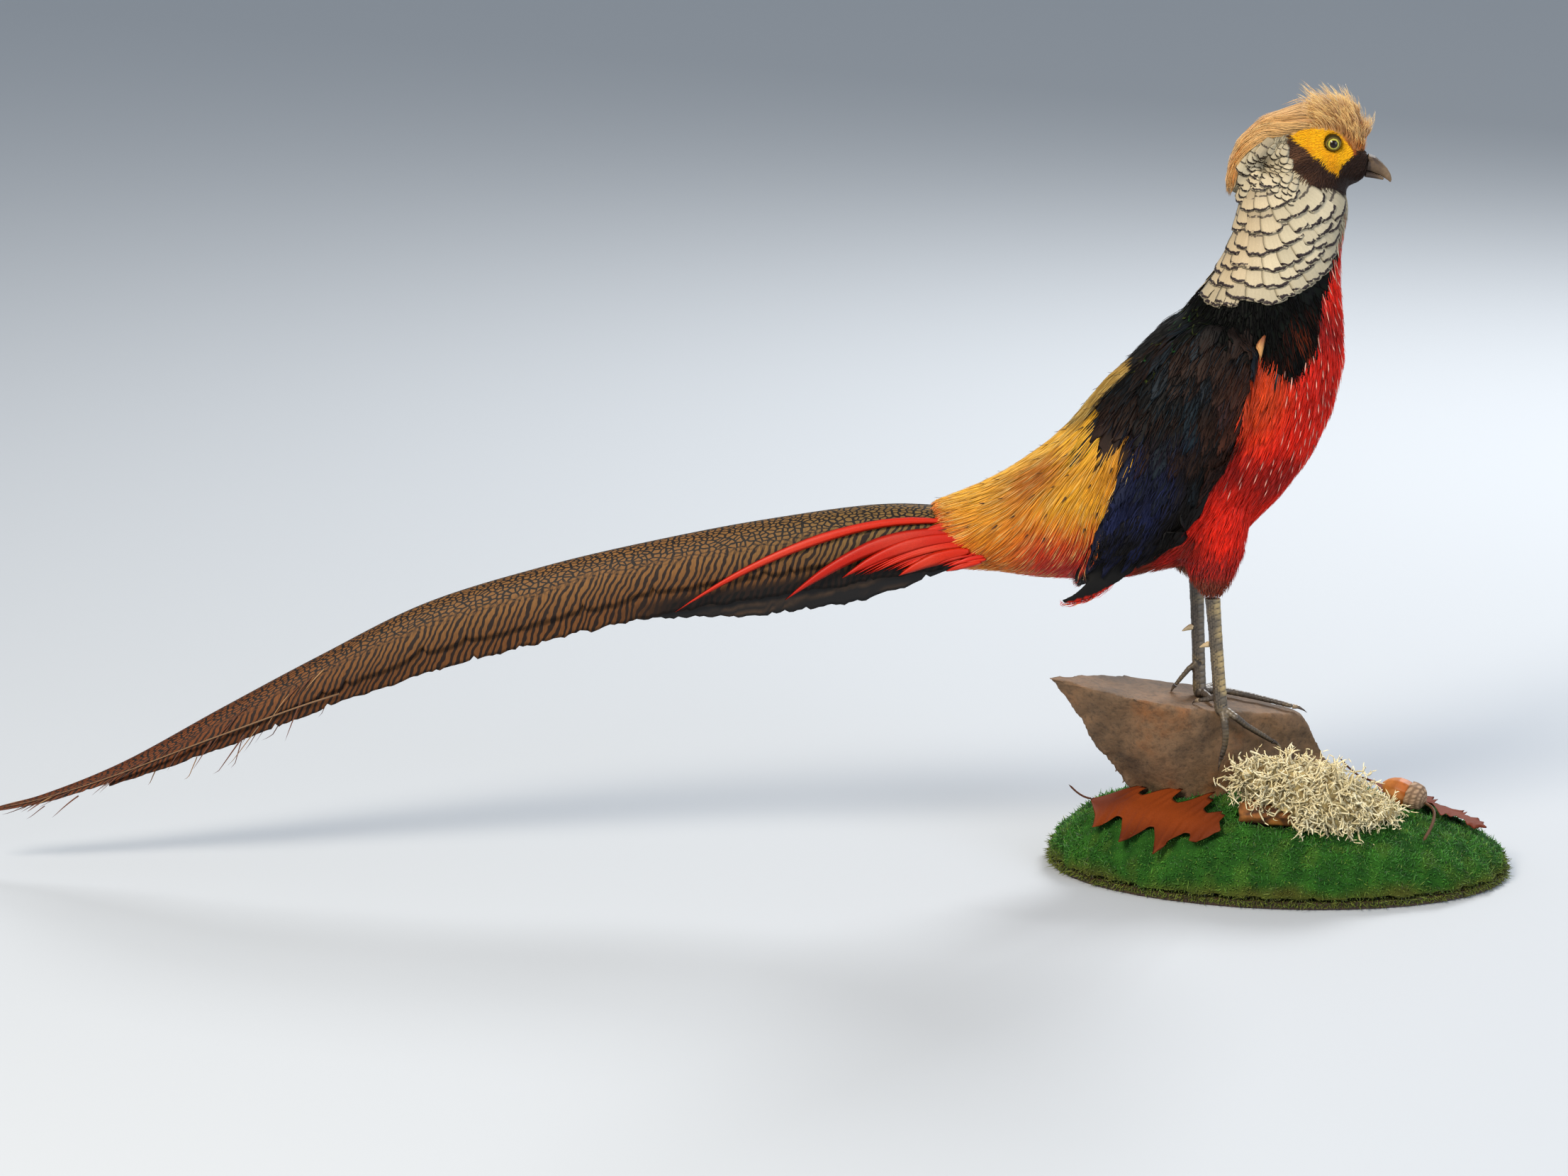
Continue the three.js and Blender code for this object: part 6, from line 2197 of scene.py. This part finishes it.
class PHEASANT_OT_leaves(bpy.types.Operator):
    """Makes the two dry oak leaves with their stalks"""
    bl_idname = "pheasant.leaves"
    bl_label = "Oak leaves"

    def execute(self, context):
        finish = leaf_finish()
        for name, (middle, turn, length, half, node, seed) in LEAVES.items():
            surface = Surface(copy_of([node], f"leaf_rest_{name}"))
            leaf = self.leaf(name, middle, turn, length, half, surface, seed)
            bpy.data.objects.remove(bpy.data.objects[f"leaf_rest_{name}"])
            finish_piece(leaf, finish, "oak_leaf", node)
        return {"FINISHED"}

    def outline(self, along, seed):
        """Half width of the leaf at these shares of its length."""
        rng = np.random.default_rng(seed)
        stations = [(at + rng.uniform(-0.006, 0.006), wide) for at, wide in LOBES[:-1]]
        at, wide = np.array(sorted([(0.0, 0.03), *stations, (1.0, 0.0)])).T
        return np.interp(along, at, wide)

    def leaf(self, name, middle, turn, length, half, surface, seed):
        rows, columns = 96, 15
        share = np.linspace(0, 1, rows)
        across = np.linspace(-1, 1, columns)
        left, right = self.outline(share, seed), self.outline(share, seed + 1)
        wide = np.where(across[None] < 0, left[:, None], right[:, None]) * np.abs(across)[None]
        # Lobes lean towards the tip: the farther out a point lies, the farther on it is.
        along = share[:, None] + 0.10 * wide * (1 - share[:, None]) ** 0.5
        over = np.sign(across)[None] * wide * half * MM
        run = (along - 0.5) * length * MM
        angle = np.radians(turn)
        x = middle[0] * MM + run * np.cos(angle) - over * np.sin(angle)
        y = middle[1] * MM + run * np.sin(angle) + over * np.cos(angle)
        z = self.rest(surface, x, y)
        # Dry and stiff, it bends to the mound only halfway.
        spot = np.stack([x.ravel(), y.ravel(), np.ones(x.size)], 1)
        plane = (spot @ np.linalg.lstsq(spot, z.ravel(), rcond=None)[0]).reshape(z.shape)
        z = np.maximum(plane + 0.5 * (z - plane), z - 2 * MM)
        z = moving_mean(moving_mean(z, 3).T, 2).T
        edge = np.abs(across)[None] ** 2
        vein = np.exp(-(across[None] * wide / 0.03) ** 2)
        side_vein = np.abs(np.sin(np.pi * (along * 5.5 - 0.5 * wide))) ** 6 * smooth(0.02, 0.1, wide)
        z = z + (0.5 * vein + 0.25 * side_vein + 1.1 * edge * ripple(np.stack([x, y, z], -1), 0.016, seed)
                 + 0.8 * edge * wide) * MM
        upper = np.stack([x, y, z], -1)
        points = closed(upper, upper - [0, 0, 0.45 * MM])[None]
        grid = np.stack([np.broadcast_to(0.5 + 0.5 * across[None] * wide, x.shape), along], -1)
        vane = closed(grid, grid)
        red = mixed(shade("5C2409"), shade("7C340B"),
                    np.clip(0.5 + 0.6 * ripple(points[0], 0.02, seed), 0, 1))
        if name == "back":
            red = mixed(red, shade("602410"), 0.6)
        coat = Coat()
        coat.lay(points, vane_faces(rows, columns), vane, (0.03 + 0.94 * vane)[None], red[None])
        start, ahead = upper[0, columns // 2], unit(upper[0, columns // 2] - upper[8, columns // 2])
        self.stalk(coat, start, ahead, 20 * MM)
        return coat.piece(f"oak_leaf_{name}")

    def rest(self, solid, x, y):
        """How high the leaf lies: on its solid, and beyond that on the moss."""
        shape = x.shape
        on_solid, _ = dropped(solid, x.ravel(), y.ravel())
        on_moss, _ = dropped(surfaces["moss"], x.ravel(), y.ravel())
        moss = np.nan_to_num(on_moss[:, 2], nan=6 * MM) + 4.2 * MM
        return np.where(np.isnan(on_solid[:, 2]), moss, np.maximum(on_solid[:, 2], moss)).reshape(shape)

    def stalk(self, coat, start, ahead, length):
        share = np.linspace(0, 1, 9)
        path = start + ahead * (share * length)[:, None]
        path = path + np.array([0, 0.3, 0.8]) * (share**2 * length * 0.5)[:, None]
        ways, ups = free_ways(path[None], [[0, 0, 1.0]])
        free_blades(coat, path[None], ups, ways, np.array([1.5 * MM]), 1.2 * MM, 0.3, shade("4A2A18"),
                    lambda _, vane: 0.01 + 0.004 * vane[None])


def moving_mean(values, reach):
    """The grid's values smoothed along its length."""
    weights = np.ones(2 * reach + 1) / (2 * reach + 1)
    padded = np.pad(values, ((reach, reach), (0, 0)), mode="edge")
    return np.stack([np.convolve(padded[:, i], weights, mode="valid") for i in range(values.shape[1])], 1)


def leaf_finish():
    """Dry oak leaf: leathery, satin, with a fine net of veins."""
    material, node = new_finish("dry oak leaf", 0.66, 0.15)
    tint = node("Attribute", attribute_name="tint")
    place = node("TexCoord").outputs["Object"]
    cells_of = node("TexVoronoi", {"Vector": place, "Scale": 520.0}, feature="DISTANCE_TO_EDGE")
    net = node("MapRange",
               {"Value": cells_of, "From Min": 0.0, "From Max": 0.12, "To Min": 0.86, "To Max": 1.0})
    colour = node("VectorMath", {0: tint, 1: net}, operation="MULTIPLY")
    return coloured(material, colour, net, 0.4, 0.0003)


class PHEASANT_OT_acorn(bpy.types.Operator):
    """Makes the acorn, its scaly cup and its stalk"""
    bl_idname = "pheasant.acorn"
    bl_label = "Acorn"

    def execute(self, context):
        nut = remeshed(["base_acorn_nut"], "acorn_shell", 0.0006, 8)
        places = points_of(nut.data)
        start = np.array([71, 2, 57.5])
        line = np.array([90, -9.6, 52.3]) - start
        run = (places / MM - start) @ line / (line @ line)
        colour = mixed(shade("AE6C30"), shade("9C5218"), smooth(0.1, 0.8, run))
        colour = mixed(colour, shade("BE8A54"),
                       0.4 * smooth(0.3, 0.9, ripple(places * [0.3, 1, 1], 0.005, 191)))
        finish_piece(nut, painted_finish("glossy acorn shell", 0.5, 0.3, 160.0, 0.0001), "acorn",
                     "base_acorn_nut", colour=colour)

        cup = remeshed(["base_acorn_cup"], "acorn_scales", 0.0006, 5)
        end = np.array([98.6, -14.8, 49.9])
        off = points_of(cup.data) / MM - end
        away = unit(-line)
        height = off @ -away
        spread = np.linalg.norm(off - (off @ away)[:, None] * away, axis=1)
        round_ = np.arctan2(off[:, 2], off[:, 1])
        polar = np.arctan2(spread, height + 6)
        row = np.floor(polar * 7 / np.pi)
        scale = np.abs(np.sin(polar * 7)) * np.abs(np.sin(round_ * 8 + row * np.pi / 2))
        push_out(cup, 0.45 * scale**0.6 - 0.35)
        colour = mixed(shade("6E5640"), shade("9E8266"), smooth(0.1, 0.9, scale))
        scales = painted_finish("acorn cup scales", 0.7, 0.3, 700.0, 0.0003)
        finish_piece(cup, scales, "acorn_cup", "base_acorn_cup", colour=colour)
        self.stalk(scales)
        return {"FINISHED"}

    def stalk(self, finish):
        """A bent twig from the cup down to the moss."""
        bends = [(98, -14, 49), (102, -22, 47.5), (102, -34, 46), (98, -48, 42), (91, -61, 36)]
        line = spline(bends, 24) * MM
        ground, _ = dropped(surfaces["moss"], line[:, 0], line[:, 1])
        line[:, 2] = np.maximum(line[:, 2], np.nan_to_num(ground[:, 2], nan=0.0) + 2.5 * MM)
        coat = Coat()
        ways = unit(np.gradient(line, axis=0))[None]
        for turn in (0, 2.1, 4.2):
            ups = unit(np.cross(ways, [[0.3, np.cos(turn), np.sin(turn)]]))
            free_blades(coat, line[None], ups, ways, np.array([2.6 * MM]), 1.1 * MM, 0.2, shade("5A3C26"),
                        lambda _, vane, turn=turn: 0.3 + 0.01 * vane[None] + turn * 0.1)
        finish_piece(coat.piece("acorn_stalk"), finish, "acorn_cup")


# ---------------------------------------------------------------- the stage
TARGET = (-0.3389, 0.0, 0.19624)
LIT = (-0.2, 0, 0.25)  # what the lamps point at
LENS_PER_METRE = 101.72 / 3.0
# Each lamp: its place and size in metres, its share of the key light's power, its colour.
LAMPS = {"key": ((-1.6, -1.9, 2.3), 1.1, 1.0, "FFF4E4"), "fill": ((1.6, -1.6, 1.0), 1.6, 0.28, "E8F0FF"),
         "rim": ((0.9, 1.8, 1.9), 0.9, 0.6, "FFFFFF")}


class PHEASANT_OT_stage(bpy.types.Operator):
    """Sets the floor, the lights, the world and the camera"""
    bl_idname = "pheasant.stage"
    bl_label = "Stage"

    def execute(self, context):
        settings = context.scene.pheasant_stage
        floor = primitive(bpy.ops.mesh.primitive_plane_add, "stage_floor", size=60,
                          location=(0, 0, -0.5 * MM))
        floor.data.materials.append(floor_finish())
        context.scene.view_settings.view_transform = "Standard"
        world = bpy.data.worlds.new("soft daylight")
        context.scene.world = world
        world.use_nodes = True
        sky = world.node_tree.nodes["Background"]
        sky.inputs["Color"].default_value = linear("DCE6F2")
        sky.inputs["Strength"].default_value = 0.6
        for name, (place, size, share, code) in LAMPS.items():
            self.light(context, name, place, size, settings.key_power * share, code)
        self.camera(context, settings)
        return {"FINISHED"}

    def light(self, context, name, place, size, power, code):
        bpy.ops.object.light_add(type="AREA", location=place)
        lamp = context.object
        lamp.name = name
        lamp.data.size = size
        lamp.data.energy = power
        lamp.data.color = linear(code)[:3]
        lamp.rotation_euler = (Vector(LIT) - Vector(place)).to_track_quat("-Z", "Y").to_euler()

    def camera(self, context, settings):
        far, pitch = settings.camera_distance, settings.camera_pitch
        place = Vector(TARGET) + far * Vector((0, -np.cos(pitch), np.sin(pitch)))
        bpy.ops.object.camera_add(location=place)
        camera = context.object
        camera.rotation_euler = (Vector(TARGET) - place).to_track_quat("-Z", "Y").to_euler()
        camera.data.sensor_width = 36
        camera.data.lens = LENS_PER_METRE * far
        camera.data.clip_end = 60
        context.scene.camera = camera


# ---------------------------------------------------------------- panel and registration
class PHEASANT_PT_make(bpy.types.Panel):
    """Every step of the pheasant, in the order they are run"""
    bl_label = "Pheasant"
    bl_space_type = "VIEW_3D"
    bl_region_type = "UI"
    bl_category = "Pheasant"

    def draw(self, context):
        for group in ("pheasant_plumage", "pheasant_base", "pheasant_stage"):
            settings = getattr(context.scene, group)
            box = self.layout.box()
            for name in settings.__annotations__:
                box.prop(settings, name)
        for step in STEPS:
            self.layout.operator(step.bl_idname)


STEPS = [PHEASANT_OT_skin, PHEASANT_OT_eyes, PHEASANT_OT_bill, PHEASANT_OT_face, PHEASANT_OT_crest,
         PHEASANT_OT_cape, PHEASANT_OT_mantle, PHEASANT_OT_breast, PHEASANT_OT_rump, PHEASANT_OT_thighs,
         PHEASANT_OT_wings, PHEASANT_OT_tail, PHEASANT_OT_plumes, PHEASANT_OT_tail_under, PHEASANT_OT_legs,
         PHEASANT_OT_moss, PHEASANT_OT_stone, PHEASANT_OT_lichen, PHEASANT_OT_leaves, PHEASANT_OT_acorn,
         PHEASANT_OT_stage]
SETTINGS = {"pheasant_plumage": PlumageSettings, "pheasant_base": BaseSettings,
            "pheasant_stage": StageSettings}


def register():
    for name, group in SETTINGS.items():
        bpy.utils.register_class(group)
        setattr(bpy.types.Scene, name, bpy.props.PointerProperty(type=group))
    for step in STEPS:
        bpy.utils.register_class(step)
    bpy.utils.register_class(PHEASANT_PT_make)


def unregister():
    bpy.utils.unregister_class(PHEASANT_PT_make)
    for step in reversed(STEPS):
        bpy.utils.unregister_class(step)
    for name, group in SETTINGS.items():
        delattr(bpy.types.Scene, name)
        bpy.utils.unregister_class(group)


def main():
    register()
    for step in STEPS:
        family, name = step.bl_idname.split(".")
        getattr(getattr(bpy.ops, family), name)()


if __name__ == "__main__":
    main()
